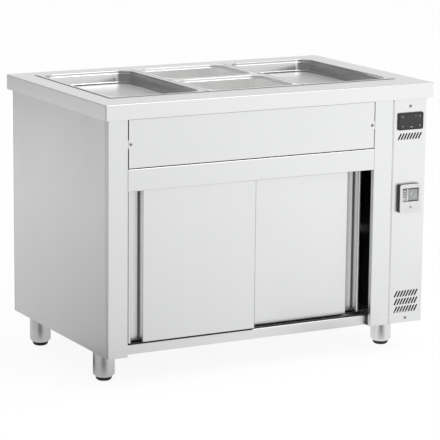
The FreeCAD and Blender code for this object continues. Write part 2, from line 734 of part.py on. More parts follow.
def cupboard_liner():
    """Left wall and back wall of the cupboard, folded from one sheet."""
    start = BODY_LEFT + SHEET + TRAY_SHEET
    return folded([(start, DOOR_ZONE_BACK), (LINER_LEFT, DOOR_ZONE_BACK),
                   (LINER_LEFT, LINER_BACK), (PARTITION_LEFT, LINER_BACK)],
                  SHEET, place_xy, TRAY_TOP, CEILING + CEILING_FOLD)


def cupboard_ceiling():
    """Ceiling of the cupboard under the well heater, with turned-up edges."""
    return tray(LINER_LEFT, DOOR_ZONE_BACK, CEILING, PARTITION_LEFT, LINER_BACK - SEAM,
                CEILING + CEILING_FOLD, SHEET)


def partition():
    """Wall between the cupboard and the control column."""
    return box(PARTITION_LEFT, TRAY_FRONT + TRAY_SHEET, TRAY_TOP, PARTITION_LEFT + SHEET,
               TRAY_BACK - SEAM - TRAY_SHEET, CEILING + 2 * CEILING_FOLD)


def mid_shelf():
    """Shelf with turned-down edges."""
    top = RAIL_TOP + SHELF_HEIGHT
    return lid(LINER_LEFT + SHELF_SIDE_GAP, DOOR_ZONE_BACK + SHELF_FRONT_GAP, top - SHELF_FOLD,
               PARTITION_LEFT - SHELF_SIDE_GAP, LINER_BACK - SHELF_SIDE_GAP, top, SHEET)


def shelf_supports():
    """Angle strips on the two side walls that the shelf rests on."""
    y0 = DOOR_ZONE_BACK + SHELF_FRONT_GAP + SUPPORT_SETBACK
    y1 = LINER_BACK - 2 * SUPPORT_SETBACK
    leg = SUPPORT_LEG
    left = folded([(LINER_LEFT, SUPPORT_TOP - leg), (LINER_LEFT, SUPPORT_TOP),
                   (LINER_LEFT + leg, SUPPORT_TOP)][::-1], SHEET, place_xz, y0, y1)
    right = folded([(PARTITION_LEFT, SUPPORT_TOP - leg), (PARTITION_LEFT, SUPPORT_TOP),
                    (PARTITION_LEFT - leg, SUPPORT_TOP)], SHEET, place_xz, y0, y1)
    return Part.makeCompound([left, right])


def element_box():
    """Outline of the element on the cupboard floor."""
    span = (2 * CUPBOARD_LOOPS - 1) * CUPBOARD_LOOP_PITCH / 2
    x0 = (LINER_LEFT + PARTITION_LEFT - CUPBOARD_LOOP_LENGTH) / 2
    y0 = (DOOR_ZONE_BACK + LINER_BACK - span) / 2
    return x0, y0, span


def cupboard_heater():
    """Element on the cupboard floor, on two saddles."""
    x0, y0, span = element_box()
    z = RAIL_TOP + ELEMENT_CLEAR + TUBE_RADIUS
    solids = [serpentine(x0, y0, z, CUPBOARD_LOOP_LENGTH, CUPBOARD_LOOP_PITCH, CUPBOARD_LOOPS)]
    for x in (x0 + CUPBOARD_LOOP_LENGTH / 4, x0 + 3 * CUPBOARD_LOOP_LENGTH / 4):
        solids.append(box(x - BAR_WIDTH / 2, y0 - BAR_WIDTH, RAIL_TOP, x + BAR_WIDTH / 2,
                          y0 + span + BAR_WIDTH, RAIL_TOP + ELEMENT_CLEAR - REST_GAP))
    return Part.makeCompound(solids)


def heater_guard():
    """Slotted cover over the cupboard element."""
    x0, y0, span = element_box()
    reach = CUPBOARD_LOOP_PITCH / 4
    gx0 = x0 - reach - GUARD_MARGIN
    gx1 = x0 + CUPBOARD_LOOP_LENGTH + reach + GUARD_MARGIN
    gy0 = y0 - GUARD_MARGIN
    gy1 = y0 + span + GUARD_MARGIN
    guard = lid(gx0, gy0, RAIL_TOP, gx1, gy1, RAIL_TOP + GUARD_HEIGHT, SHEET)
    slots = []
    count = int((gx1 - gx0 - 2 * GUARD_MARGIN) // GUARD_MARGIN)
    for i in range(count + 1):
        x = (gx0 + gx1) / 2 + (i - count / 2) * GUARD_MARGIN
        slots.append(box(x - SLOT_WIDTH, gy0 + GUARD_MARGIN / 2, RAIL_TOP + GUARD_HEIGHT / 2,
                         x + SLOT_WIDTH, gy1 - GUARD_MARGIN / 2, RAIL_TOP + 2 * GUARD_HEIGHT))
    return guard.cut(Part.makeCompound(slots))


def cupboard_probe():
    """Temperature probe in a clip on the partition."""
    z = RAIL_TOP + PROBE_HEIGHT
    y = (DOOR_ZONE_BACK + LINER_BACK) / 2
    gap = 2 * PROBE_RADIUS
    clip = box(PARTITION_LEFT - gap - PROBE_RADIUS - SHEET, y + PROBE_LENGTH / 3, z - PROBE_RADIUS,
               PARTITION_LEFT, y + PROBE_LENGTH / 2, z + PROBE_RADIUS + SHEET)
    return join([rod(PARTITION_LEFT - gap, y, z, PROBE_RADIUS, PROBE_LENGTH, ALONG_Y), clip])


# ---------------------------------------------------------------- sliding doors

def door_ends(side):
    """Outer end and inner end of a closed door; side is -1 for left and 1 for right."""
    if side < 0:
        outer = OPEN_LEFT + DOOR_END_GAP
    else:
        outer = OPEN_RIGHT - DOOR_END_GAP
    return outer, outer - side * DOOR_WIDTH


def door_face(side):
    return FRONT_DOOR_FACE if side < 0 else REAR_DOOR_FACE


def door_skin(side):
    """Outer skin of a door, with its bead and finger pull folded in."""
    outer, inner = door_ends(side)
    y = door_face(side)
    back = y + DOOR_THICK - SHEET
    bead = outer - side * PULL_BEAD
    pull = bead - side * PULL_WIDTH
    path = [(outer, back), (outer, y), (bead, y), (bead, y + PULL_DEPTH), (pull, y + PULL_DEPTH),
            (pull, y), (inner, y), (inner, back)]
    round_bead = PULL_BEAD / 2 - SHEET - 0.5
    bends = [round_bead, round_bead, BEND, BEND, BEND, BEND]
    if side > 0:
        path = path[::-1]
        bends = bends[::-1]
    skin = folded(path, SHEET, place_xy, DOOR_BOTTOM, DOOR_TOP, bends)
    x0 = min(pull, inner) + SHEET / 2
    x1 = max(pull, inner) - SHEET / 2
    groove = y + (DOOR_THICK - GROOVE_WIDTH) / 2
    solids = [skin]
    for z in (DOOR_BOTTOM, DOOR_TOP - SHEET):
        solids.append(box(x0, y + SHEET / 2, z, x1, groove, z + SHEET))
    room = box(min(outer, inner) - SHEET, groove, DOOR_BOTTOM - SHEET, max(outer, inner) + SHEET,
               groove + GROOVE_WIDTH, DOOR_BOTTOM + GROOVE_DEPTH)
    return join(solids).cut(room)


def door_back(side):
    """Inner skin of a door, with folds at its top and bottom."""
    outer, inner = door_ends(side)
    y = door_face(side)
    back = y + DOOR_THICK
    groove = y + (DOOR_THICK + GROOVE_WIDTH) / 2
    x0 = min(outer, inner)
    x1 = max(outer, inner)
    pull = outer - side * (PULL_BEAD + PULL_WIDTH + SHEET)
    fold_x0 = min(pull, inner + side * SHEET)
    fold_x1 = max(pull, inner + side * SHEET)
    solids = [box(x0, back - SHEET, DOOR_BOTTOM, x1, back, DOOR_TOP)]
    for z in (DOOR_BOTTOM, DOOR_TOP - SHEET):
        solids.append(box(fold_x0, groove, z, fold_x1, back - SHEET / 2, z + SHEET))
    return join(solids)


def door_filling(side):
    """Insulation between a door's skins, over the guide groove."""
    outer, inner = door_ends(side)
    y = door_face(side)
    pull = outer - side * (PULL_BEAD + PULL_WIDTH + SHEET)
    end = inner + side * SHEET
    block = box(min(pull, end), y + SHEET, DOOR_BOTTOM + GROOVE_DEPTH, max(pull, end),
                y + DOOR_THICK - SHEET, DOOR_TOP - SHEET)
    corners = [e for e in block.Edges if on_line(e, pull, y + SHEET) or on_line(e, end, y + SHEET)]
    return block.makeFillet(BEND, corners)


def hanger_places(side):
    """The two hangers of a door, left one first."""
    outer, inner = door_ends(side)
    x0 = min(outer, inner)
    x1 = max(outer, inner)
    return (x0 + HANGER_INSET, x1 - HANGER_INSET)


def track_middle(side):
    return door_face(side) + DOOR_THICK / 2


def door_hangers(side):
    """Two hangers: a foot on the door's top edge and a stem with an axle hole."""
    middle = track_middle(side)
    half = HANGER_SHEET / 2
    solids = []
    for x in hanger_places(side):
        foot = box(x - HANGER_BASE, middle - HANGER_WIDTH / 2, DOOR_TOP, x + HANGER_BASE,
                   middle + HANGER_WIDTH / 2, DOOR_TOP + HANGER_SHEET)
        stem = box(x - HANGER_WIDTH / 4, middle - half, DOOR_TOP, x + HANGER_WIDTH / 4,
                   middle + half, AXLE_HEIGHT + 2 * AXLE_RADIUS)
        hole = rod(x, middle - HANGER_SHEET, AXLE_HEIGHT, AXLE_RADIUS + AXLE_CLEAR,
                   2 * HANGER_SHEET, ALONG_Y)
        solids.append(join([foot, stem]).cut(hole))
    return Part.makeCompound(solids)


def roller(side, place):
    """A pair of wheels on one axle, running on the track's two lips."""
    x = hanger_places(side)[place]
    middle = track_middle(side)
    near = HANGER_SHEET / 2 + STEM_TO_ROLLER
    reach = near + ROLLER_WIDTH
    solids = [rod(x, middle - reach, AXLE_HEIGHT, AXLE_RADIUS, 2 * reach, ALONG_Y)]
    for y in (middle - reach, middle + near):
        wheel = rod(x, y, AXLE_HEIGHT, ROLLER_RADIUS, ROLLER_WIDTH, ALONG_Y)
        rims = [e for e in wheel.Edges if e.Closed]
        solids.append(wheel.makeChamfer(AXLE_RADIUS / 5, rims))
    return join(solids)


def top_track():
    """Two slotted channels side by side under the head rail's flange."""
    half = TRACK_WIDTH / 2
    slot = TRACK_SLOT / 2
    solids = []
    for side in (-1, 1):
        y = track_middle(side)
        solids.append(folded([(y + slot, TRACK_BOTTOM), (y + half, TRACK_BOTTOM),
                              (y + half, TRACK_TOP), (y - half, TRACK_TOP),
                              (y - half, TRACK_BOTTOM), (y - slot, TRACK_BOTTOM)],
                             TRACK_SHEET, place_yz, OPEN_LEFT, OPEN_RIGHT))
    return Part.makeCompound(solids)


def track_stops():
    """Rubber blocks at the ends of the tracks that stop the rollers."""
    solids = []
    reach = ROLLER_RADIUS + 2 * ROLLER_CLEAR
    half = TRACK_WIDTH / 2 - TRACK_SHEET
    for side in (-1, 1):
        y = track_middle(side)
        left, right = hanger_places(side)
        low = left - (DOOR_TRAVEL if side > 0 else 0.0)
        high = right + (DOOR_TRAVEL if side < 0 else 0.0)
        for x0, x1 in ((OPEN_LEFT, low - reach), (high + reach, OPEN_RIGHT)):
            block = box(x0, y - half, TRACK_BOTTOM + TRACK_SHEET, x1, y + half,
                        TRACK_TOP - TRACK_SHEET)
            corners = [e for e in block.Edges if abs(e.BoundBox.XLength - (x1 - x0)) < 1e-6]
            solids.append(block.makeFillet(BEND, corners))
    return Part.makeCompound(solids)


def bottom_guides():
    """Upright strips on the bottom rail that run in the doors' grooves."""
    solids = []
    for side in (-1, 1):
        y = track_middle(side)
        solids.append(box(OPEN_LEFT + SEAM, y - GUIDE_SHEET / 2, RAIL_TOP,
                          OPEN_RIGHT - SEAM, y + GUIDE_SHEET / 2, RAIL_TOP + GUIDE_HEIGHT))
    return Part.makeCompound(solids)


# ---------------------------------------------------------------- control column

def slanted_slot(x, z):
    """A leaning slot cut through the front, centred on x and z."""
    half_h = SLOT_HEIGHT / 2
    half_l = SLOT_LEAN / 2
    length = math.hypot(SLOT_HEIGHT, SLOT_LEAN)
    across = (SLOT_WIDTH / 2 * SLOT_HEIGHT / length, SLOT_WIDTH / 2 * SLOT_LEAN / length)
    y = BODY_FRONT - SHEET
    foot = (x - half_l, z - half_h)
    head = (x + half_l, z + half_h)
    corners = [(foot[0] - across[0], foot[1] + across[1]), (head[0] - across[0], head[1] + across[1]),
               (head[0] + across[0], head[1] - across[1]), (foot[0] + across[0], foot[1] - across[1])]
    face = Part.Face(Part.makePolygon([vec(a, y, b) for a, b in corners + corners[:1]]))
    bar = face.extrude(ALONG_Y * 3 * SHEET)
    ends = [rod(a, y, b, SLOT_WIDTH / 2, 3 * SHEET, ALONG_Y) for a, b in (foot, head)]
    return join([bar] + ends)


def vent_rows():
    """Centres of all slot rows."""
    rows = [BODY_TOP - UPPER_SLOT_DROP]
    for i in range(LOWER_SLOT_ROWS):
        rows.append(BODY_BOTTOM + LOWER_SLOT_RISE + i * LOWER_SLOT_PITCH)
    return rows


def control_screw_places():
    return (BODY_BOTTOM + SCREW_BOTTOM_RISE, BODY_TOP - SCREW_TOP_DROP)


def control_panel():
    """Front cover of the control column, with its cut-outs and vents."""
    panel = folded([(CONTROL_LEFT + SEAM, BODY_FRONT + SIDE_RETURN),
                    (CONTROL_LEFT + SEAM, BODY_FRONT), (BODY_RIGHT, BODY_FRONT),
                    (BODY_RIGHT, BODY_FRONT + SIDE_RETURN)],
                   SHEET, place_xy, BODY_BOTTOM, BODY_TOP)
    cuts = []
    for z in vent_rows():
        for i in range(SLOT_COUNT):
            x = CONTROL_MID + (i - (SLOT_COUNT - 1) / 2) * SLOT_PITCH
            cuts.append(slanted_slot(x, z))
    for z in control_screw_places():
        cuts.append(screw_hole(CONTROL_MID, z, CONTROL_SCREW_SHANK + SCREW_CLEAR))
    y0 = BODY_FRONT - SHEET
    y1 = BODY_FRONT + 2 * SHEET
    half = CONTROLLER_WIDTH / 2 - WINDOW_BORDER
    tall = CONTROLLER_HEIGHT / 2 - WINDOW_BORDER
    cuts.append(box(CONTROL_MID - half, y0, CONTROLLER_MID - tall, CONTROL_MID + half, y1,
                    CONTROLLER_MID + tall))
    half = SWITCH_WINDOW_WIDTH / 2
    z = SWITCH_MID + SWITCH_WINDOW_RISE
    cuts.append(box(CONTROL_MID - half, y0, z - half, CONTROL_MID + half, y1, z + half))
    return panel.cut(Part.makeCompound(cuts))


def controller():
    """Digital controller: a bezel in front of the panel and a body behind it."""
    half = CONTROLLER_WIDTH / 2
    tall = CONTROLLER_HEIGHT / 2
    front = BODY_FRONT - CONTROLLER_PROUD
    bezel = round_plate_front(CONTROL_MID - half, CONTROLLER_MID - tall, CONTROL_MID + half,
                              CONTROLLER_MID + tall, front, BODY_FRONT, CONTROLLER_CORNER)
    rim = [e for e in bezel.Edges if e.BoundBox.YMax < front + 1e-6]
    bezel = bezel.makeFillet(WINDOW_RECESS, rim)
    inset = WINDOW_BORDER
    recess = box(CONTROL_MID - half + inset, front - 1.0, CONTROLLER_MID - tall + inset,
                 CONTROL_MID + half - inset, front + WINDOW_RECESS, CONTROLLER_MID + tall - inset)
    body = box(CONTROL_MID - half + inset + SEAM, BODY_FRONT - SHEET,
               CONTROLLER_MID - tall + inset + SEAM, CONTROL_MID + half - inset - SEAM,
               BODY_FRONT + CONTROLLER_BODY, CONTROLLER_MID + tall - inset - SEAM)
    return bezel.cut(recess).fuse(body).removeSplitter()


def controller_window():
    """Dark display window in the controller's recess."""
    half = CONTROLLER_WIDTH / 2 - WINDOW_BORDER
    tall = CONTROLLER_HEIGHT / 2 - WINDOW_BORDER
    front = BODY_FRONT - CONTROLLER_PROUD
    return box(CONTROL_MID - half, front + WINDOW_RECESS / 2, CONTROLLER_MID - tall,
               CONTROL_MID + half, front + WINDOW_RECESS, CONTROLLER_MID + tall)


def switch_window(y0, y1, shrink):
    """The switch's window opening, between two depths."""
    half = SWITCH_WINDOW_WIDTH / 2 - shrink
    tall = SWITCH_WINDOW_HEIGHT / 2 - shrink
    z = SWITCH_MID + SWITCH_WINDOW_RISE
    return box(CONTROL_MID - half, y0, z - tall, CONTROL_MID + half, y1, z + tall)


def switch_housing():
    """Black switch box that stands out of the panel, with a pocket for the rocker."""
    half = SWITCH_WIDTH / 2
    tall = SWITCH_HEIGHT / 2
    shell = round_plate_front(CONTROL_MID - half, SWITCH_MID - tall, CONTROL_MID + half,
                              SWITCH_MID + tall, SWITCH_BACK, BODY_FRONT, SWITCH_CORNER)
    body = switch_window(BODY_FRONT - SHEET, BODY_FRONT + SWITCH_BODY, SEAM)
    pocket = switch_window(SWITCH_BACK - SHEET, SWITCH_BACK + SWITCH_POCKET, SEAM)
    x, z = rocker_middle()
    reach = ROCKER_WIDTH / 2 + ROCKER_PIN_REACH + ROCKER_GAP
    hole = rod(x - reach, SWITCH_BACK + SWITCH_POCKET / 2, z, ROCKER_PIN + AXLE_CLEAR,
               2 * reach, ALONG_X)
    return shell.fuse(body).cut(pocket).fuse(rocker_web()).cut(hole).removeSplitter()


def rocker_middle():
    """Where the rocker sits: the right part of the window."""
    right = CONTROL_MID + SWITCH_WINDOW_WIDTH / 2 - SEAM
    x = right - ROCKER_GAP - ROCKER_WIDTH / 2
    return x, SWITCH_MID + SWITCH_WINDOW_RISE


def rocker_web():
    """Wall between the pilot lamp and the rocker."""
    x, z = rocker_middle()
    x1 = x - ROCKER_WIDTH / 2 - ROCKER_GAP
    tall = SWITCH_WINDOW_HEIGHT / 2 - SEAM
    return box(x1 - 2 * SEAM, SWITCH_BACK, z - tall, x1, SWITCH_BACK + SWITCH_POCKET, z + tall)


def switch_rocker():
    """Rocker that tips about a pin across it; it rests with its top pressed in."""
    x, z = rocker_middle()
    y = SWITCH_BACK + SWITCH_POCKET / 2
    half = ROCKER_WIDTH / 2
    tall = ROCKER_HEIGHT / 2
    rise = math.tan(math.radians(ROCKER_TILT)) * tall
    low = y + ROCKER_PIN + SHEET / 2
    top = SWITCH_BACK
    outline = [(low, z - tall / 2), (top - rise / 2, z - tall), (top + SHEET / 2, z),
               (top + rise, z + tall), (low, z + tall / 2)]
    face = Part.Face(Part.makePolygon([vec(x - half, a, b) for a, b in outline + outline[:1]]))
    paddle = face.extrude(ALONG_X * ROCKER_WIDTH)
    pin = rod(x - half - ROCKER_PIN_REACH, y, z, ROCKER_PIN, ROCKER_WIDTH + 2 * ROCKER_PIN_REACH,
              ALONG_X)
    return join([paddle, pin])


def switch_plate():
    """Light face plate of the switch, with the window cut out."""
    half = SWITCH_WIDTH / 2
    tall = SWITCH_HEIGHT / 2
    front = BODY_FRONT - SWITCH_PROUD
    plate = round_plate_front(CONTROL_MID - half, SWITCH_MID - tall, CONTROL_MID + half,
                              SWITCH_MID + tall, front, SWITCH_BACK, SWITCH_CORNER)
    lock = rod(CONTROL_MID, front - 1.0, SWITCH_MID - LOCK_DROP, LOCK_RADIUS + THREAD_CLEAR,
               SWITCH_PLATE + 1.0, ALONG_Y)
    return plate.cut(switch_window(front - 1.0, SWITCH_BACK + 1.0, 0.0)).cut(lock)


def pilot_lamp():
    """Round pilot lamp beside the rocker, on the pocket's floor."""
    x = CONTROL_MID - SWITCH_WINDOW_WIDTH / 2 + SEAM + PILOT_RADIUS + SEAM
    z = SWITCH_MID + SWITCH_WINDOW_RISE + SWITCH_WINDOW_HEIGHT / 2 - SEAM - PILOT_RADIUS - SEAM
    floor = SWITCH_BACK + SWITCH_POCKET
    stem = rod(x, floor, z, PILOT_RADIUS, SWITCH_POCKET - PILOT_PROUD, vec(0, -1, 0))
    dome = Part.makeSphere(PILOT_RADIUS, vec(x, floor - SWITCH_POCKET + PILOT_PROUD, z))
    front = dome.common(box(x - PILOT_RADIUS, floor - SWITCH_POCKET - PILOT_RADIUS,
                            z - PILOT_RADIUS, x + PILOT_RADIUS,
                            floor - SWITCH_POCKET + PILOT_PROUD, z + PILOT_RADIUS))
    return join([stem, front])


def pan_head_screw(x, z, front, head, shank, length):
    """A screw with a low domed head, driven along +Y."""
    height = head / 2
    radius = (head * head + height * height) / (2 * height)
    ball = Part.makeSphere(radius, vec(x, front + radius - height, z))
    dome = ball.common(box(x - head, front - height, z - head, x + head, front, z + head))
    cross = [box(x - head * 0.6, front - height - 1, z - 0.5, x + head * 0.6, front - height / 2,
                 z + 0.5),
             box(x - 0.5, front - height - 1, z - head * 0.6, x + 0.5, front - height / 2,
                 z + head * 0.6)]
    return join([dome, rod(x, front - height / 3, z, shank, length + height / 3, ALONG_Y)]
                ).cut(cross[0]).cut(cross[1])


def cover_screws():
    """Screws of the fascia, of the control panel and of the switch plate."""
    z = (FASCIA_BOTTOM + BODY_TOP) / 2
    solids = [pan_head_screw(x, z, BODY_FRONT, FASCIA_SCREW_HEAD, FASCIA_SCREW_SHANK, SCREW_LENGTH)
              for x in fascia_screw_x()]
    for z in control_screw_places():
        solids.append(pan_head_screw(CONTROL_MID, z, BODY_FRONT, CONTROL_SCREW_HEAD,
                                     CONTROL_SCREW_SHANK, SCREW_LENGTH))
    solids.append(rod(CONTROL_MID, BODY_FRONT - SWITCH_PROUD - LOCK_PROUD,
                      SWITCH_MID - LOCK_DROP, LOCK_RADIUS, SWITCH_PLATE + LOCK_PROUD, ALONG_Y))
    return Part.makeCompound(solids)


def chassis_left():
    return CONTROL_LEFT + CHASSIS_GAP


def control_chassis():
    """Upright plate in the control column, with a foot and two screw tabs."""
    x0 = chassis_left()
    x1 = x0 + CHASSIS_SHEET
    front = BODY_FRONT + SHEET
    y0 = TRAY_FRONT + TRAY_SHEET + SEAM
    y1 = front + CHASSIS_DEPTH
    plate = box(x0, y0, TRAY_TOP, x1, y1, TANK_UNDER - CHASSIS_GAP)
    mast = box(x0, y0, TRAY_TOP, x1, WELL_FRONT - LEDGE_UNDER, BODY_TOP - SEAM)
    foot = box(x0, y0, TRAY_TOP, x0 + TAB_HEIGHT, y1, TRAY_TOP + CHASSIS_SHEET)
    solids = [plate, mast, foot]
    holes = []
    over_tray = BODY_BOTTOM + TRAY_EDGE + SEAM
    bottom_z, top_z = control_screw_places()
    reach = TAB_HEIGHT / 2
    for z, low, high in ((bottom_z, TRAY_TOP + SEAM, max(bottom_z, over_tray) + reach),
                         (top_z, top_z - reach, BODY_TOP - SEAM)):
        solids.append(box(x0, front, low, CONTROL_MID + reach, front + TAB_SHEET, high))
        solids.append(box(x0, front, max(low, over_tray), x1, y0 + SHEET, high))
        holes.append(screw_hole(CONTROL_MID, z, CONTROL_SCREW_SHANK + THREAD_CLEAR))
    return join(solids).cut(Part.makeCompound(holes))


def terminal_block():
    """Row of supply terminals on the chassis plate."""
    x0 = chassis_left() + CHASSIS_SHEET
    y0 = BODY_FRONT + SHEET + CHASSIS_DEPTH / 2
    z0 = BODY_BOTTOM + TERMINAL_RISE
    depth = 3 * TERMINAL_PITCH
    solids = [box(x0, y0 - SEAM, z0 - TERMINAL_PITCH, x0 + SEAM,
                  y0 + TERMINAL_COUNT * TERMINAL_PITCH + SEAM, z0 + TERMINAL_PITCH)]
    for i in range(TERMINAL_COUNT):
        y = y0 + i * TERMINAL_PITCH
        way = box(x0 + SEAM / 2, y, z0 - TERMINAL_PITCH, x0 + depth, y + TERMINAL_PITCH - SHEET,
                  z0 + TERMINAL_PITCH)
        solids.append(way.cut(rod(x0 + depth / 2, y + (TERMINAL_PITCH - SHEET) / 2, z0,
                                  TERMINAL_PITCH / 4, depth, ALONG_X)))
    return join(solids)


def contactor():
    """Contactor on a short rail on the chassis plate."""
    x0 = chassis_left() + CHASSIS_SHEET
    x1 = x0 + RAIL_RISE
    x2 = x1 + CONTACTOR_DEPTH
    y0 = BODY_FRONT + SHEET + CHASSIS_DEPTH / 2
    z0 = BODY_BOTTOM + CONTACTOR_RISE
    middle = y0 + RAIL_LENGTH / 2
    lip = RAIL_WIDTH / 2
    room = lip - 3 * SHEET
    nose_width = CONTACTOR_WIDTH - 2 * CONTACTOR_NOSE / 3
    rail = box(x0, y0, z0 - lip, x1, y0 + RAIL_LENGTH, z0 + lip).cut(
        box(x0 + SHEET, y0 - SHEET, z0 - room, x1 + SHEET, y0 + RAIL_LENGTH + SHEET, z0 + room))
    body = box(x1, middle - CONTACTOR_WIDTH / 2, z0 - CONTACTOR_HEIGHT / 2, x2,
               middle + CONTACTOR_WIDTH / 2, z0 + CONTACTOR_HEIGHT / 2)
    nose = box(x2, middle - nose_width / 2, z0 - CONTACTOR_NOSE_HEIGHT / 2, x2 + CONTACTOR_NOSE,
               middle + nose_width / 2, z0 + CONTACTOR_NOSE_HEIGHT / 2)
    return Part.makeCompound([rail, join([body, nose])])


def cable_gland():
    """Entry for the supply cable through the back panel, with its nut inside."""
    x = CONTROL_MID
    z = BODY_BOTTOM + GLAND_RISE
    outside = BODY_BACK + SHEET
    hexagon = []
    for i in range(6):
        angle = math.radians(60 * i)
        hexagon.append((x + GLAND_HEX * math.cos(angle), z + GLAND_HEX * math.sin(angle)))
    rings = [vec(a, outside, b) for a, b in hexagon + hexagon[:1]]
    flange = Part.Face(Part.makePolygon(rings)).extrude(ALONG_Y * (GLAND_OUT / 3))
    dome = Part.makeCone(GLAND_HEX * 0.82, GLAND_BORE + 3.0, GLAND_OUT * 2 / 3,
                         vec(x, outside + GLAND_OUT / 3, z), ALONG_Y)
    thread = rod(x, BODY_BACK - GLAND_IN, z, GLAND_THREAD, GLAND_IN + SHEET, ALONG_Y)
    nut = rod(x, BODY_BACK - GLAND_NUT, z, GLAND_HEX, GLAND_NUT, ALONG_Y)
    bore = rod(x, BODY_BACK - GLAND_IN - 1, z, GLAND_BORE, GLAND_IN + GLAND_OUT + SHEET + 2, ALONG_Y)
    return join([flange, dome, thread, nut]).cut(bore)


# ---------------------------------------------------------------- feet

def foot_places():
    """Centres of the four feet: front left, front right, rear left, rear right."""
    x0 = BODY_LEFT + FOOT_INSET_LEFT
    x1 = BODY_RIGHT - FOOT_INSET_RIGHT
    y0 = BODY_FRONT + FOOT_INSET_FRONT
    y1 = BODY_BACK - FOOT_INSET_REAR
    return {"front_left": (x0, y0), "front_right": (x1, y0),
            "rear_left": (x0, y1), "rear_right": (x1, y1)}


def foot_tube(x, y):
    """A tube with a tapered end under a square plate, and the nut inside it."""
    top = BODY_BOTTOM
    shoulder = PAD_HEIGHT + FOOT_TAPER
    wall = FOOT_WALL
    tube = revolved(x, y, [(FOOT_RADIUS, top), (FOOT_RADIUS, shoulder),
                           (FOOT_TIP_RADIUS, PAD_HEIGHT), (FOOT_TIP_RADIUS - 2 * wall, PAD_HEIGHT),
                           (FOOT_RADIUS - wall, shoulder + wall), (FOOT_RADIUS - wall, top)])
    half = FOOT_PLATE / 2
    plate = round_plate(x - half, y - half, x + half, y + half, top - FOOT_PLATE_SHEET, top,
                        TANK_FOOT)
    nut = rod(x, y, FOOT_NUT_RISE, FOOT_RADIUS - wall / 2, FOOT_NUT_SHEET, ALONG_Z)
    thread = rod(x, y, FOOT_NUT_RISE - 1, SPINDLE_RADIUS + SPINDLE_CLEAR, FOOT_NUT_SHEET + 2,
                 ALONG_Z)
    return join([tube, plate, nut]).cut(thread)


def foot_tubes():
    return Part.makeCompound([foot_tube(x, y) for x, y in foot_places().values()])


def foot_insert(x, y):
    """Pad and threaded spindle that screw out of the tube to level the cabinet."""
    tip = FOOT_TIP_RADIUS
    swell = (PAD_TREAD_RADIUS + 2 * tip) / 3
    return revolved(x, y, [(0, 0), (PAD_TREAD_RADIUS, 0), (swell, PAD_SHOULDER), (tip, PAD_HEIGHT),
                           (SPINDLE_RADIUS, PAD_HEIGHT), (SPINDLE_RADIUS, SPINDLE_RISE),
                           (0, SPINDLE_RISE)])


# ---------------------------------------------------------------- all sub-parts

def all_parts():
    """Every sub-part by its name."""
    middle = bay_edge(1)
    half_length = GN_LENGTH / 2
    parts = {
        "worktop": worktop(),
        "deck_stiffeners": deck_stiffeners(),
        "well_tank": well_tank(),
        "pan_bars": pan_bars(),
        "pan_left": pan(bay_edge(0), WELL_FRONT, GN_LENGTH, SHALLOW),
        "pan_right": pan(bay_edge(2), WELL_FRONT, GN_LENGTH, SHALLOW),
        "pan_middle_front": pan(middle, WELL_FRONT, half_length, DEEP),
        "pan_middle_rear": pan(middle, WELL_FRONT + half_length, half_length, DEEP),
        "well_heater": well_heater(),
        "left_front_post": left_front_post(),
        "right_front_post": right_front_post(),
        "rear_posts": rear_posts(),
        "left_side_panel": left_side_panel(),
        "right_side_panel": right_side_panel(),
        "back_panel": back_panel(),
        "fascia_panel": fascia_panel(),
        "head_rail": head_rail(),
        "bottom_rail": bottom_rail(),
        "base_tray": base_tray(),
        "cupboard_floor": cupboard_floor(),
        "cupboard_liner": cupboard_liner(),
        "cupboard_ceiling": cupboard_ceiling(),
        "partition": partition(),
        "mid_shelf": mid_shelf(),
        "shelf_supports": shelf_supports(),
        "cupboard_heater": cupboard_heater(),
        "heater_guard": heater_guard(),
        "cupboard_probe": cupboard_probe(),
        "top_track": top_track(),
        "track_stops": track_stops(),
        "bottom_guides": bottom_guides(),
        "control_panel": control_panel(),
        "controller": controller(),
        "controller_window": controller_window(),
        "switch_housing": switch_housing(),
        "switch_plate": switch_plate(),
        "switch_rocker": switch_rocker(),
        "pilot_lamp": pilot_lamp(),
        "cover_screws": cover_screws(),
        "control_chassis": control_chassis(),
        "terminal_block": terminal_block(),
        "contactor": contactor(),
        "cable_gland": cable_gland(),
        "foot_tubes": foot_tubes(),
    }
    for name, side in (("left", -1), ("right", 1)):
        parts["door_skin_" + name] = door_skin(side)
        parts["door_back_" + name] = door_back(side)
        parts["door_filling_" + name] = door_filling(side)
        parts["door_hangers_" + name] = door_hangers(side)
        for i in range(2):
            parts["roller_%s_%d" % (name, i + 1)] = roller(side, i)
    for name, (x, y) in foot_places().items():
        parts["foot_insert_" + name] = foot_insert(x, y)
    return parts


os.makedirs("parts", exist_ok=True)
for node, shape in all_parts().items():
    shape.exportStep("parts/%s.step" % node)
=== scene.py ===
import json
import math

import bmesh
import bpy
from mathutils import Matrix, Vector

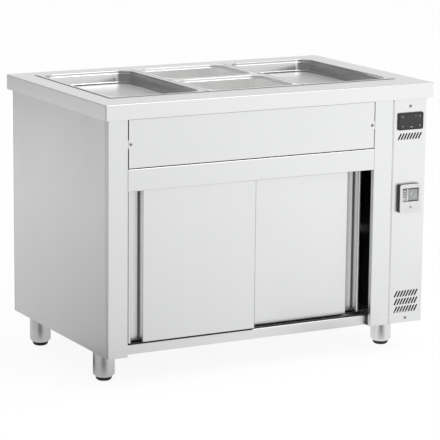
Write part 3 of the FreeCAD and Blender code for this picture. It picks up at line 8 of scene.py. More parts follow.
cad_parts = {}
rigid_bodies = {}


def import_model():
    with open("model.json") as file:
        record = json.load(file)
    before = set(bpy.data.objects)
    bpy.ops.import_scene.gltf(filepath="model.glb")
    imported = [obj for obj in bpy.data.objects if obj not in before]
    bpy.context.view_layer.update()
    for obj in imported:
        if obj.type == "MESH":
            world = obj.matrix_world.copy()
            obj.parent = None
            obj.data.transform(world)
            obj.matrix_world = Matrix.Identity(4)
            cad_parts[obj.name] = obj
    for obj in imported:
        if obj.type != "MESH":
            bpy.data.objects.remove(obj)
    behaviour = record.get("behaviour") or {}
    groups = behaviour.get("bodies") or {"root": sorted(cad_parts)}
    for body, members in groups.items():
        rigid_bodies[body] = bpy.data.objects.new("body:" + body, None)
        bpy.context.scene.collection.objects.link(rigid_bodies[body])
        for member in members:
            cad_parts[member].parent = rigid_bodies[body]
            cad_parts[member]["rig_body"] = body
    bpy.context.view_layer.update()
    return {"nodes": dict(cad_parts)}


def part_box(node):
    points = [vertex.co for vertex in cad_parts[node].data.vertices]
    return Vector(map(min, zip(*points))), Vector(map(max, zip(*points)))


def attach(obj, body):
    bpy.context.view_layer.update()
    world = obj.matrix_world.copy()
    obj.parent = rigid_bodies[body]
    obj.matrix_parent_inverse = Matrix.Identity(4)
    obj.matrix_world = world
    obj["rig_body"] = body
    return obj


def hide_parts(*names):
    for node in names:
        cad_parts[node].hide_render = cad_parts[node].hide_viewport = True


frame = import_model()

# Dresses a packed heated serving counter: satin steel cabinet, four food pans, sliding doors,
# a control column and levelling feet. Metres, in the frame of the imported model: +X right,
# +Y back, +Z up, the origin on the floor.

# Camera, fitted to the photograph's edges
CAMERA_PLACE = (-3.329480, -6.128846, 1.817874)
CAMERA_RIGHT = (0.8792540, -0.4762572, 0.0095623)
CAMERA_UP = (0.0868698, 0.1800496, 0.9798142)
CAMERA_LENS = 187.4644
CAMERA_SENSOR = 36.0

# Studio
FLOOR_SIZE = 60.0
FLOOR_SHADOW_SHARE = 0.15
FLOOR_OPEN_LIGHT = 0.76
SKY_LEVEL = 0.64
DARK_SIDE_LEVEL = 0.22
KEY_PLACE = (3.6, -5.2, 5.4)
KEY_SIZE = 6.0
KEY_POWER = 95.0
# Painted shade spots on the floor, seen by metal only: (x, y, inner radius, outer radius, share left)
FLOOR_SHADE_SPOTS = ((-0.62, -0.47, 0.04, 0.20, 0.15), (0.35, -0.47, 0.04, 0.20, 0.15), (-0.62, -0.01, 0.04, 0.16, 0.15),
             (1.05, -1.0, 0.1, 0.60, 0.92), (-4.3, -2.3, 1.2, 2.2, 0.2))
TOP_PLACE = (0.5, -1.5, 2.7)
TOP_SIZE = 1.8
TOP_POWER = 12.0

# Fasteners, as (x, z) on the front
FASCIA_SCREWS = ((-0.4735, 0.7215), (0.3385, 0.7215))
PANEL_SCREWS = ((0.474, 0.110), (0.474, 0.772))
LOCK_PLACE = (0.474, 0.461)
LOCK_RADIUS = 0.004
BACK_SCREW_SIDE = 0.011
BACK_SCREW_END = 0.012

# Vent slots
SLOT_ROWS = (0.679, 0.138, 0.1626, 0.1872)
SLOT_COLUMNS = 8
SLOT_PITCH = 0.0104
SLOT_LEAN = 0.0086
SLOT_HEIGHT = 0.0155
SLOT_WIDTH = 0.0032
# Width of the black collar that paints shade round each slot
SLOT_SHADE_COLLAR = 0.0011
SLOT_PROUD = 0.0004

# Doors: their guides, sweeps and the dark strips that paint shade lines
GUIDE_SHOWN = 0.0035
DOOR_BEAD = 0.010
PULL_WIDTH = 0.038
PULL_DEPTH = 0.028
# How far each door's sweep hangs below it, which sets the painted dark shade line under the door
SWEEP_SHADE_REACH = {"left": 0.0057, "right": 0.0030}
SWEEP_END = 0.004
SWEEP_FRONT = 0.0012
SWEEP_BACK = 0.0062
# Dark strips that paint shade lines on the doors: their end clearance and width
SHADE_STRIP_END = 0.003
SHADE_STRIP_WIDTH = 0.0045

# Food pans
PAN_SHEET = 0.0009
PAN_RIM = 0.0125
PAN_RIM_DROP = 0.0052
PAN_RIM_CORNER = 0.011
PAN_RIM_ROLL = 0.0016
PAN_CORNER = 0.044
PAN_SHOULDER_DROP = 0.009
PAN_SHOULDER_STEP = 0.0016
PAN_BEND = 0.0030
PAN_TAPER = 0.005
PAN_FOOT = 0.0072
PAN_FLAT = 0.006
# Height of the painted shade line round each pan's floor
PAN_SHADE_LINE = 0.0042
PANS = ("pan_left", "pan_right", "pan_middle_front", "pan_middle_rear")

# Switch
ROCKER_WIDTH = 0.034
ROCKER_HEIGHT = 0.034
POCKET_HALF = 0.0196
POCKET_REACH = 0.004
POCKET_LEFT = 0.0205
POCKET_RIGHT = 0.0016

# Feet
FEET = ("front_left", "front_right", "rear_left", "rear_right")
PAD_PROFILE = ((0.0, 0.0012), (0.0085, 0.0012), (0.0100, 0.0002), (0.0120, 0.0), (0.0155, 0.0),
               (0.0183, 0.0008), (0.0207, 0.0024), (0.0226, 0.0046), (0.0238, 0.0071),
               (0.0244, 0.0096), (0.0243, 0.0110), (0.0236, 0.0115), (0.0070, 0.0115), (0.0, 0.0115))
SPINDLE_PROFILE = ((0.0, 0.0110), (0.0085, 0.0110), (0.0085, 0.0128), (0.0078, 0.0134), (0.0061, 0.0134),
                   (0.0061, 0.0740), (0.0052, 0.0750), (0.0, 0.0750))
THREAD_START = 0.0148
THREAD_PITCH = 0.0020
THREAD_TURNS = 29
THREAD_RADIUS = 0.0070
THREAD_ROOT = 0.0060
THREAD_CREST = 0.0002
BOLT_PROFILE = ((0.0042, -0.0036), (0.0048, -0.0032), (0.0048, 0.0002))
BOLT_SPREAD = 0.034
FOOT_PLATE = 0.002


# ======== Mesh helpers

def as_mesh(name, shape):
    mesh = bpy.data.meshes.new(name)
    shape.to_mesh(mesh)
    shape.free()
    return mesh


def placed(name, data):
    """A new object in the scene that carries the given data."""
    made = bpy.data.objects.new(name, data)
    bpy.context.scene.collection.objects.link(made)
    return made


def crease_edges(shape, crease):
    """Smooth faces, with sharp edges past the crease angle."""
    limit = math.radians(crease)
    for face in shape.faces:
        face.smooth = True
    for edge in shape.edges:
        edge.smooth = edge.calc_face_angle(0.0) < limit


def as_piece(name, mesh, body):
    piece = placed(name, mesh)
    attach(piece, body)
    return piece


def outward(shape):
    bmesh.ops.recalc_face_normals(shape, faces=shape.faces)
    return shape


def finished(name, shape, finish, body, crease=32.0):
    """Turns a bmesh into a piece: outward normals, sharp edges past the crease angle, a finish and a body."""
    bmesh.ops.remove_doubles(shape, verts=shape.verts, dist=1e-6)
    crease_edges(outward(shape), crease)
    mesh = as_mesh(name, shape)
    mesh.materials.append(finish)
    return as_piece(name, mesh, body)


def middle_of(name):
    """The centre of a node's box, as x, y, z."""
    low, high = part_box(name)
    return [(a + b) / 2 for a, b in zip(low, high)]


def quarter(steps):
    """Angles of a quarter turn, both ends included."""
    return [math.radians(90 * i / steps) for i in range(steps + 1)]


def circle(radius, height, steps):
    """Points round the Z axis at a height."""
    return [Vector((radius * math.cos(2 * math.pi * i / steps), radius * math.sin(2 * math.pi * i / steps), height))
            for i in range(steps)]


def keep_flats(piece):
    """Lets large flat faces set the shading beside small bends."""
    weigh = piece.modifiers.new("flats", "WEIGHTED_NORMAL")
    weigh.keep_sharp = True
    weigh.weight = 100
    return piece


def soften(piece, width, segments=2, angle=35.0):
    """Rounds the hard edges of a moulded or machined piece."""
    round_off = piece.modifiers.new("round_off", "BEVEL")
    round_off.width = width
    round_off.segments = segments
    round_off.limit_method = "ANGLE"
    round_off.angle_limit = math.radians(angle)
    round_off.harden_normals = True
    return piece


def block(shape, low, high):
    """Adds a box."""
    corners = [Vector((x, y, z)) for x in (low[0], high[0]) for y in (low[1], high[1])
               for z in (low[2], high[2])]
    made = [shape.verts.new(c) for c in corners]
    for ring in ((0, 1, 3, 2), (4, 6, 7, 5), (0, 4, 5, 1), (2, 3, 7, 6), (0, 2, 6, 4), (1, 5, 7, 3)):
        shape.faces.new([made[i] for i in ring])


def loft(shape, rings, wrap=False):
    """Joins rings that have the same number of points; capped, or wrapped from the last ring to the first."""
    rows = [[shape.verts.new(p) for p in ring] for ring in rings]
    count = len(rows[0])
    for low, high in zip(rows, rows[1:] + rows[:1] if wrap else rows[1:]):
        for i in range(count):
            j = (i + 1) % count
            shape.faces.new((low[i], low[j], high[j], high[i]))
    if not wrap:
        shape.faces.new(list(reversed(rows[0])))
        shape.faces.new(rows[-1])


def turned(shape, centre, profile, steps=48, axis="Z"):
    """Revolves (radius, height) points about an axis through the centre; ends at radius 0 are closed."""
    def place(radius, height, angle):
        a, b = radius * math.cos(angle), radius * math.sin(angle)
        if axis == "Z":
            return Vector((centre[0] + a, centre[1] + b, centre[2] + height))
        return Vector((centre[0] + a, centre[1] + height, centre[2] + b))
    rows = []
    for radius, height in profile:
        if radius < 1e-7:
            rows.append([shape.verts.new(place(0.0, height, 0.0))])
        else:
            rows.append([shape.verts.new(place(radius, height, 2 * math.pi * i / steps))
                         for i in range(steps)])
    for low, high in zip(rows, rows[1:]):
        for i in range(steps):
            j = (i + 1) % steps
            if len(low) == 1 and len(high) > 1:
                shape.faces.new((low[0], high[j], high[i]))
            elif len(high) == 1 and len(low) > 1:
                shape.faces.new((low[i], low[j], high[0]))
            elif len(low) > 1:
                shape.faces.new((low[i], low[j], high[j], high[i]))
    if len(rows[0]) > 1 and len(rows[-1]) > 1:
        shape.faces.new(list(reversed(rows[0])))
        shape.faces.new(rows[-1])


def rounded_ring(x0, y0, x1, y1, radius, z, arc=8, side=6):
    """Points of a rounded rectangle at a height, always the same number."""
    radius = max(min(radius, (x1 - x0) / 2 - 1e-4, (y1 - y0) / 2 - 1e-4), 1e-4)
    centres = ((x1 - radius, y1 - radius, 0), (x0 + radius, y1 - radius, 90),
               (x0 + radius, y0 + radius, 180), (x1 - radius, y0 + radius, 270))
    arcs = []
    for cx, cy, start in centres:
        arcs.append([Vector((cx + radius * math.cos(math.radians(start + 90 * i / arc)),
                             cy + radius * math.sin(math.radians(start + 90 * i / arc)), z))
                     for i in range(arc + 1)])
    points = []
    for bend, after in zip(arcs, arcs[1:] + arcs[:1]):
        points += bend
        points += [bend[-1].lerp(after[0], i / side) for i in range(1, side)]
    return points


# ======== Shader groups

def new_group(name, inputs, outputs):
    tree = bpy.data.node_groups.new(name, "ShaderNodeTree")
    for label, kind, value in inputs:
        made = tree.interface.new_socket(label, in_out="INPUT", socket_type=kind)
        made.default_value = value
    for label, kind in outputs:
        tree.interface.new_socket(label, in_out="OUTPUT", socket_type=kind)
    return tree, tree.nodes.new("NodeGroupInput"), tree.nodes.new("NodeGroupOutput")


def node(tree, kind, **settings):
    made = tree.nodes.new(kind)
    for key, value in settings.items():
        setattr(made, key, value)
    return made


def maths(tree, operation, a, b=None, clamp=False):
    """A Math node; a and b are sockets or numbers."""
    made = node(tree, "ShaderNodeMath", operation=operation, use_clamp=clamp)
    for i, value in enumerate((a, b)):
        if value is None:
            continue
        if isinstance(value, (int, float)):
            made.inputs[i].default_value = value
        else:
            tree.links.new(value, made.inputs[i])
    return made.outputs[0]


def remap(tree, value, low, high, to_low, to_high):
    made = node(tree, "ShaderNodeMapRange")
    tree.links.new(value, made.inputs["Value"])
    for label, number in (("From Min", low), ("From Max", high), ("To Min", to_low), ("To Max", to_high)):
        made.inputs[label].default_value = number
    return made.outputs["Result"]


def times(tree, a, b, clamp=False):
    return maths(tree, "MULTIPLY", a, b, clamp)


def dot(tree, vector, direction):
    made = node(tree, "ShaderNodeVectorMath", operation="DOT_PRODUCT")
    tree.links.new(vector, made.inputs[0])
    made.inputs[1].default_value = direction
    return made.outputs["Value"]


def noise(tree, vector, **values):
    """A noise value; each setting is a number or a socket."""
    made = node(tree, "ShaderNodeTexNoise")
    for label, value in {"Vector": vector, **values}.items():
        if isinstance(value, float):
            made.inputs[label].default_value = value
        else:
            tree.links.new(value, made.inputs[label])
    return made.outputs["Fac"]


def bump(tree, height, strength, distance, normal=None):
    made = node(tree, "ShaderNodeBump")
    made.inputs["Strength"].default_value = strength
    made.inputs["Distance"].default_value = distance
    tree.links.new(height, made.inputs["Height"])
    if normal:
        tree.links.new(normal, made.inputs["Normal"])
    return made.outputs["Normal"]


def object_place(tree):
    return node(tree, "ShaderNodeTexCoord").outputs["Object"]


def build_grain():
    """Brushed grain: fine lines along the direction whose stretch is small."""
    tree, given, out = new_group(
        "brushed_grain",
        (("Stretch", "NodeSocketVector", (6.0, 700.0, 700.0)), ("Contrast", "NodeSocketFloat", 1.0)),
        (("Line", "NodeSocketFloat"), ("Band", "NodeSocketFloat")))
    fine = node(tree, "ShaderNodeVectorMath", operation="MULTIPLY")
    tree.links.new(object_place(tree), fine.inputs[0])
    tree.links.new(given.outputs["Stretch"], fine.inputs[1])
    broad = node(tree, "ShaderNodeVectorMath", operation="SCALE")
    broad.inputs["Scale"].default_value = 0.06
    tree.links.new(fine.outputs[0], broad.inputs[0])
    for source, label, detail in ((fine, "Line", 3.0), (broad, "Band", 4.0)):
        raw = noise(tree, source.outputs[0], Scale=1.0, Detail=detail, Roughness=0.65)
        scaled = times(tree, maths(tree, "SUBTRACT", raw, 0.5), given.outputs["Contrast"])
        tree.links.new(maths(tree, "ADD", scaled, 0.5, clamp=True), out.inputs[label])
    return tree


def build_marks():
    """Soft handling marks and cleaning haze, as a mask."""
    tree, given, out = new_group(
        "handling_marks",
        (("Size", "NodeSocketFloat", 5.0), ("Cover", "NodeSocketFloat", 0.5)),
        (("Mask", "NodeSocketFloat"),))
    cloud = noise(tree, object_place(tree), Scale=given.outputs["Size"], Detail=5.0, Roughness=0.55, Distortion=0.8)
    above = maths(tree, "SUBTRACT", cloud, maths(tree, "SUBTRACT", 0.75, given.outputs["Cover"]))
    tree.links.new(times(tree, above, 3.0, clamp=True), out.inputs["Mask"])
    return tree


def build_edge_wear_and_highlight():
    """Edge wear and painted edge highlight: a mask that is high where the surface turns within the radius."""
    tree, given, out = new_group(
        "edge_wear_and_highlight",
        (("Radius", "NodeSocketFloat", 0.0012), ("Strength", "NodeSocketFloat", 3.0)),
        (("Mask", "NodeSocketFloat"), ("Normal", "NodeSocketVector")))
    rounded = node(tree, "ShaderNodeBevel", samples=6)
    tree.links.new(given.outputs["Radius"], rounded.inputs["Radius"])
    surface = node(tree, "ShaderNodeNewGeometry")
    turn = node(tree, "ShaderNodeVectorMath", operation="DOT_PRODUCT")
    tree.links.new(rounded.outputs["Normal"], turn.inputs[0])
    tree.links.new(surface.outputs["Normal"], turn.inputs[1])
    apart = maths(tree, "SUBTRACT", 1.0, turn.outputs["Value"])
    tree.links.new(times(tree, apart, given.outputs["Strength"], clamp=True), out.inputs["Mask"])
    tree.links.new(rounded.outputs["Normal"], out.inputs["Normal"])
    return tree


def build_speckle():
    """Fine moulded or cast texture."""
    tree, given, out = new_group(
        "moulded_grain", (("Size", "NodeSocketFloat", 900.0),), (("Height", "NodeSocketFloat"),))
    tree.links.new(noise(tree, object_place(tree), Scale=given.outputs["Size"], Detail=2.0), out.inputs["Height"])
    return tree


def build_crevice():
    """Painted shade in corners and gaps, as a mask from ambient occlusion."""
    tree, given, out = new_group(
        "crevice_shade",
        (("Reach", "NodeSocketFloat", 0.012), ("Start", "NodeSocketFloat", 0.72),
         ("Gain", "NodeSocketFloat", 3.0)),
        (("Mask", "NodeSocketFloat"),))
    shade = node(tree, "ShaderNodeAmbientOcclusion", samples=6)
    tree.links.new(given.outputs["Reach"], shade.inputs["Distance"])
    below = maths(tree, "SUBTRACT", given.outputs["Start"], shade.outputs["AO"])
    tree.links.new(times(tree, below, given.outputs["Gain"], clamp=True), out.inputs["Mask"])
    return tree


GRAIN = build_grain()
MARKS = build_marks()
EDGE_WEAR_AND_HIGHLIGHT = build_edge_wear_and_highlight()
SPECKLE = build_speckle()
CREVICE = build_crevice()


def use_group(tree, group, **values):
    made = node(tree, "ShaderNodeGroup", node_tree=group)
    for label, value in values.items():
        made.inputs[label].default_value = value
    return made


# ======== Finishes

def blank(name):
    finish = bpy.data.materials.new(name)
    finish.use_nodes = True
    return finish, finish.node_tree, finish.node_tree.nodes["Principled BSDF"]


def mix_colours(tree, share, dark, light):
    made = node(tree, "ShaderNodeMix", data_type="RGBA")
    tree.links.new(share, [s for s in made.inputs if s.name == "Factor" and s.type == "VALUE"][0])
    for label, value in (("A", dark), ("B", light)):
        socket = [s for s in made.inputs if s.name == label and s.type == "RGBA"][0]
        if isinstance(value, tuple):
            socket.default_value = (*value, 1.0)
        else:
            tree.links.new(value, socket)
    return [s for s in made.outputs if s.type == "RGBA"][0]


def steel(name, colour, roughness, stretch, contrast=0.6, haze=0.03, relief=0.00002, wear_and_highlight=0.06,
          spread=0.03, radius=0.0004, waves=0.0, crevice=None, shade=0.12, metal=1.0):
    """Steel sheet with grain, haze, brighter edges that are part wear and part painted highlight, optional painted
    shade in crevices and, for drawn work, a slight wave.
    """
    finish, tree, shader = blank(name)
    shader.inputs["Metallic"].default_value = metal
    grain = use_group(tree, GRAIN, Stretch=stretch, Contrast=contrast)
    marks = use_group(tree, MARKS, Size=4.0, Cover=0.30)
    edges = use_group(tree, EDGE_WEAR_AND_HIGHLIGHT, Radius=radius, Strength=wear_and_highlight * 6.0)
    dark = tuple(c * (1.0 - spread) for c in colour)
    light = tuple(min(c * (1.0 + spread), 1.0) for c in colour)
    base = mix_colours(tree, grain.outputs["Band"], dark, light)
    # Painted highlight and wear: the edges are lightened.
    worn_and_painted_tone = mix_colours(tree, times(tree, edges.outputs["Mask"], wear_and_highlight), base,
                       tuple(min(c * 1.12, 0.97) for c in colour))
    # Painted shade: corners and gaps are darkened by the occlusion mask.
    if crevice:
        painted_crevice_shade = use_group(tree, CREVICE, Reach=crevice[0], Start=crevice[1], Gain=crevice[2])
        worn_and_painted_tone = mix_colours(tree, painted_crevice_shade.outputs["Mask"], worn_and_painted_tone, tuple(c * shade for c in colour))
    tree.links.new(worn_and_painted_tone, shader.inputs["Base Color"])
    lines = remap(tree, grain.outputs["Line"], 0.0, 1.0, roughness * 0.86, roughness * 1.14)
    hazed = maths(tree, "ADD", lines, times(tree, marks.outputs["Mask"], haze))
    tree.links.new(hazed, shader.inputs["Roughness"])
    normal = bump(tree, grain.outputs["Line"], 0.5, relief, edges.outputs["Normal"])
    if waves:
        normal = bump(tree, noise(tree, object_place(tree), Scale=11.0, Detail=1.0), 1.0, waves, normal)
    tree.links.new(normal, shader.inputs["Normal"])
    return finish


def plastic(name, colour, roughness, coat=0.0, grain=700.0, relief=0.00003, wear_and_highlight=0.12):
    """Moulded plastic or rubber with a fine texture and paler edges that are part wear and part painted highlight."""
    finish, tree, shader = blank(name)
    shader.inputs["Coat Weight"].default_value = coat
    shader.inputs["Coat Roughness"].default_value = 0.08
    marks = use_group(tree, MARKS, Size=28.0, Cover=0.35)
    edges = use_group(tree, EDGE_WEAR_AND_HIGHLIGHT, Radius=0.0008, Strength=2.0)
    speckle = use_group(tree, SPECKLE, Size=grain)
    tint = mix_colours(tree, marks.outputs["Mask"], colour, tuple(c * 0.90 for c in colour))
    # Painted highlight and wear: the edges are lightened.
    worn_and_painted_tone = mix_colours(tree, times(tree, edges.outputs["Mask"], wear_and_highlight), tint,
                       tuple(min(c * 1.5 + 0.05, 0.95) for c in colour))
    tree.links.new(worn_and_painted_tone, shader.inputs["Base Color"])
    tree.links.new(remap(tree, marks.outputs["Mask"], 0.0, 1.0, roughness, roughness + 0.08),
                   shader.inputs["Roughness"])
    tree.links.new(bump(tree, speckle.outputs["Height"], 0.4, relief, edges.outputs["Normal"]),
                   shader.inputs["Normal"])
    return finish


ALONG_X = (5.0, 650.0, 650.0)
ALONG_Z = (650.0, 650.0, 5.0)
FRONT_COLOUR = (0.855, 0.860, 0.862)

# The crevice settings (reach, start, gain) paint shade into seams, corners and gaps; shade is the share of colour left
# there.
SEAM_SHADE = (0.005, 0.66, 2.5)
satin_long = steel("satin_steel_long", FRONT_COLOUR, 0.30, ALONG_X, crevice=SEAM_SHADE, shade=0.4)
satin_upright = steel("satin_steel_upright", FRONT_COLOUR, 0.30, ALONG_Z, crevice=SEAM_SHADE, shade=0.4)
# Darker copies of the satin steel, painting shade on the worktop's front bend and on the left post's side fold.
painted_shade_bend_steel = steel("satin_steel_bend_painted_shade", (0.72, 0.722, 0.724), 0.32, ALONG_X)
painted_shade_return_steel = steel("satin_steel_return_painted_shade", (0.72, 0.722, 0.725), 0.30, ALONG_Z)
satin_deck = steel("satin_steel_deck", (0.885, 0.887, 0.887), 0.28, ALONG_X, crevice=(0.006, 0.80, 3.0), shade=0.15)
satin_side = steel("satin_steel_side", (0.83, 0.832, 0.835), 0.32, ALONG_Z)
foot_steel = steel("turned_foot_steel", (0.80, 0.80, 0.80), 0.17, (300.0, 300.0, 900.0), 0.4, 0.02)
PAN_GRAIN = {"stretch": (90.0, 90.0, 90.0), "contrast": 0.2, "haze": 0.03, "relief": 0.00001}
# Pan steels: the crevice setting paints shade into corners and radii; the dark line steel paints the shade lines round
# each floor and along the rim's edge.
pan_steel = steel("drawn_pan_steel", (0.80, 0.80, 0.795), 0.18, waves=0.0007, crevice=(0.014, 0.80, 4.0), **PAN_GRAIN)
deep_pan_steel = steel("deep_drawn_pan_steel", (0.95, 0.95, 0.945), 0.17, waves=0.0012, metal=0.64,
                       crevice=(0.020, 0.78, 3.0), shade=0.30, **PAN_GRAIN)
pan_floor_steel = steel("pan_floor_steel", (0.68, 0.68, 0.676), 0.40, **PAN_GRAIN)
pan_shade_line_steel = steel("pan_shade_line_steel", (0.16, 0.16, 0.16), 0.30, wear_and_highlight=0.0, **PAN_GRAIN)
mill_steel = steel("mill_steel", (0.56, 0.565, 0.57), 0.38, ALONG_X, 0.5, 0.08)
zinc_steel = steel("zinc_plated_steel", (0.62, 0.64, 0.66), 0.34, (60.0, 60.0, 60.0), 1.2, 0.10, spread=0.10)
screw_steel = steel("screw_steel", (0.42, 0.42, 0.42), 0.26, (900.0, 900.0, 900.0), 0.4, 0.04)
element_steel = steel("heat_dark_steel", (0.26, 0.24, 0.23), 0.42, (40.0, 40.0, 40.0), 1.4, 0.12, spread=0.25)
black_plastic = plastic("black_moulded_plastic", (0.022, 0.022, 0.023), 0.42)
device_plastic = plastic("device_plastic", (0.18, 0.185, 0.19), 0.50)
window_plastic = plastic("display_window", (0.024, 0.024, 0.026), 0.18, coat=0.15, relief=0.0, wear_and_highlight=0.0)
plate_plastic = plastic("switch_plate_plastic", (0.93, 0.932, 0.93), 0.36)
pocket_plastic = plastic("pocket_plastic", (0.85, 0.855, 0.86), 0.40)
rocker_plastic = plastic("rocker_plastic", (0.42, 0.425, 0.43), 0.30, coat=0.3)
mark_paint = plastic("pale_marking", (0.80, 0.81, 0.82), 0.45, relief=0.0, wear_and_highlight=0.0)
lens_plastic = plastic("lamp_lens", (0.70, 0.69, 0.66), 0.16, coat=0.7, relief=0.0)
shade_strip_rubber = plastic("shade_strip_rubber", (0.16, 0.16, 0.163), 0.55, relief=0.0, wear_and_highlight=0.0)
tread_rubber = plastic("foot_rubber", (0.012, 0.012, 0.013), 0.62, grain=420.0, relief=0.00008)
roller_nylon = plastic("roller_nylon", (0.62, 0.61, 0.57), 0.40)


def build_wool():
    """Mineral wool behind the door skins: a fibrous yellow-brown felt."""
    finish, tree, shader = blank("mineral_wool")
    fibres = noise(tree, object_place(tree), Scale=260.0, Detail=6.0, Distortion=2.5)
    tree.links.new(mix_colours(tree, fibres, (0.42, 0.34, 0.16), (0.62, 0.54, 0.32)), shader.inputs["Base Color"])
    shader.inputs["Roughness"].default_value = 0.95
    shader.inputs["Sheen Weight"].default_value = 0.2
    tree.links.new(bump(tree, fibres, 1.0, 0.0006), shader.inputs["Normal"])
    return finish


wool = build_wool()

# Every CAD node's finish, whether it shows or is stood for by a smoother piece
NODE_FINISH = {
    satin_deck: "worktop",
    satin_long: "fascia_panel head_rail bottom_rail back_panel",
    satin_upright: "left_front_post right_front_post control_panel door_skin_left door_skin_right",
    satin_side: "left_side_panel right_side_panel",
    foot_steel: "foot_tubes",
    pan_steel: "pan_left pan_right",
    deep_pan_steel: "pan_middle_front pan_middle_rear",
    mill_steel: "deck_stiffeners well_tank pan_bars base_tray cupboard_floor cupboard_liner cupboard_ceiling "
                "partition mid_shelf shelf_supports heater_guard door_back_left door_back_right",
    zinc_steel: "rear_posts top_track control_chassis door_hangers_left door_hangers_right "
                "foot_insert_front_left foot_insert_front_right foot_insert_rear_left foot_insert_rear_right",
    screw_steel: "cover_screws cupboard_probe",
    element_steel: "well_heater cupboard_heater",
    wool: "door_filling_left door_filling_right",
    tread_rubber: "track_stops",
    roller_nylon: "roller_left_1 roller_left_2 roller_right_1 roller_right_2",
    black_plastic: "controller switch_housing bottom_guides cable_gland",
    window_plastic: "controller_window",
    plate_plastic: "switch_plate",
    rocker_plastic: "switch_rocker",
    lens_plastic: "pilot_lamp",
    device_plastic: "terminal_block contactor",
}
FINISH_OF = {name: finish for finish, names in NODE_FINISH.items() for name in names.split()}
for name, part in frame["nodes"].items():
    part.data.materials.clear()
    part.data.materials.append(FINISH_OF[name])

BODY_OF = {name: part["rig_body"] for name, part in frame["nodes"].items()}


# ======== Smooth copies of folded and turned parts

def post_return(face):
    """The side fold of the left post."""
    return face.normal.x < -0.9


def deck_front_bend(face):
    """The rolled front edge of the worktop."""
    return 0.2 < face.normal.z < 0.98 and face.normal.y < -0.15


rocker_low, rocker_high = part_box("switch_rocker")


def switch_pocket(face):
    """The pale inside of the switch housing's pocket."""
    centre = face.calc_center_median()
    return (abs(centre.z - (rocker_low.z + rocker_high.z) / 2) < POCKET_HALF and centre.y > rocker_low.y - POCKET_REACH
            and rocker_low.x - POCKET_LEFT < centre.x < rocker_high.x + POCKET_RIGHT)


# Faces that get a second finish: darker steel as painted shade on the post's side fold and the worktop's front bend,
# pale plastic in the switch pocket.
SECOND_FINISH = {"left_front_post": (painted_shade_return_steel, post_return), "worktop": (painted_shade_bend_steel, deck_front_bend),
                 "switch_housing": (pocket_plastic, switch_pocket)}


def smooth_copy(name, crease=30.0):
    """A merged copy of a CAD part, shaded smooth round its bends."""
    shape = bmesh.new()
    shape.from_mesh(frame["nodes"][name].data)
    bmesh.ops.remove_doubles(shape, verts=shape.verts, dist=2e-6)
    bmesh.ops.dissolve_degenerate(shape, edges=shape.edges, dist=1e-7)
    second, chosen = SECOND_FINISH.get(name, (None, None))
    if second:
        shape.normal_update()
        for face in shape.faces:
            face.material_index = int(chosen(face))
    piece = finished(name + "_formed", shape, FINISH_OF[name], BODY_OF[name], crease)
    if second:
        piece.data.materials.append(second)
    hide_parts(name)
    return keep_flats(piece)


FORMED = {
    "sheet_steel": "worktop left_front_post right_front_post control_panel door_skin_left door_skin_right "
                   "foot_tubes",
    "pan_steel": "well_tank pan_bars",
    "element_steel": "well_heater cupboard_heater",
    "nylon": "roller_left_1 roller_left_2 roller_right_1 roller_right_2",
    "black_plastic": "controller switch_housing cable_gland",
    "switch_grey": "switch_plate",
}
for slot, names in FORMED.items():
    for name in names.split():
        smooth_copy(name)


# ======== Food pans

def pan_rings(low, high):
    """Rings of a pan's whole closed section, from the inside of its floor round the rim to its underside."""
    top = high.z
    depth = top - low.z
    x0, y0, x1, y1 = low.x, low.y, high.x, high.y
    foot_inset = PAN_RIM + PAN_TAPER
    foot_corner = PAN_CORNER - PAN_TAPER / 2
    floor_z = -(depth - PAN_SHEET)

    def ring(inset, z, corner):
        return rounded_ring(x0 + inset, y0 + inset, x1 - inset, y1 - inset, corner, top + z)

    def floor(sheet):
        return [ring(foot_inset + PAN_FOOT + PAN_FLAT, floor_z - sheet, foot_corner - PAN_FOOT - PAN_FLAT)]

    def foot(sheet):
        reach = PAN_FOOT + sheet
        return [ring(foot_inset + PAN_FOOT - reach * math.cos(angle), floor_z + PAN_FOOT - reach * math.sin(angle),
                     foot_corner - PAN_FOOT + reach * math.cos(angle)) for angle in quarter(6)]

    def bend(sheet):
        reach = PAN_BEND - sheet
        return [ring(PAN_RIM - PAN_BEND + reach * math.sin(angle), -PAN_BEND + reach * math.cos(angle),
                     PAN_CORNER + PAN_BEND - reach * math.sin(angle)) for angle in quarter(4)]

    def shoulder(sheet):
        drop, step = PAN_SHOULDER_DROP, PAN_SHOULDER_STEP
        return [ring(PAN_RIM + step / 8 - sheet, -drop + 0.0012, PAN_CORNER + sheet),
                ring(PAN_RIM + step / 2 - sheet, -drop, PAN_CORNER - step / 2 + sheet),
                ring(PAN_RIM + step - sheet, -drop - 0.0014, PAN_CORNER - step + sheet)]

    def roll(sheet):
        reach = PAN_RIM_ROLL - sheet
        return [ring(PAN_RIM_ROLL - reach * math.sin(angle), -PAN_RIM_ROLL + reach * math.cos(angle),
                     PAN_RIM_CORNER - PAN_RIM_ROLL + reach * math.sin(angle)) for angle in quarter(4)]

    inside = floor(0.0) + list(reversed(foot(0.0))) + list(reversed(shoulder(0.0)))
    inside += list(reversed(bend(0.0))) + roll(0.0) + [ring(0.0, -PAN_RIM_DROP, PAN_RIM_CORNER)]
    under = [ring(PAN_SHEET, -PAN_RIM_DROP, PAN_RIM_CORNER - PAN_SHEET)] + list(reversed(roll(PAN_SHEET)))
    under += bend(PAN_SHEET) + shoulder(PAN_SHEET) + foot(PAN_SHEET) + floor(PAN_SHEET)
    return inside + under


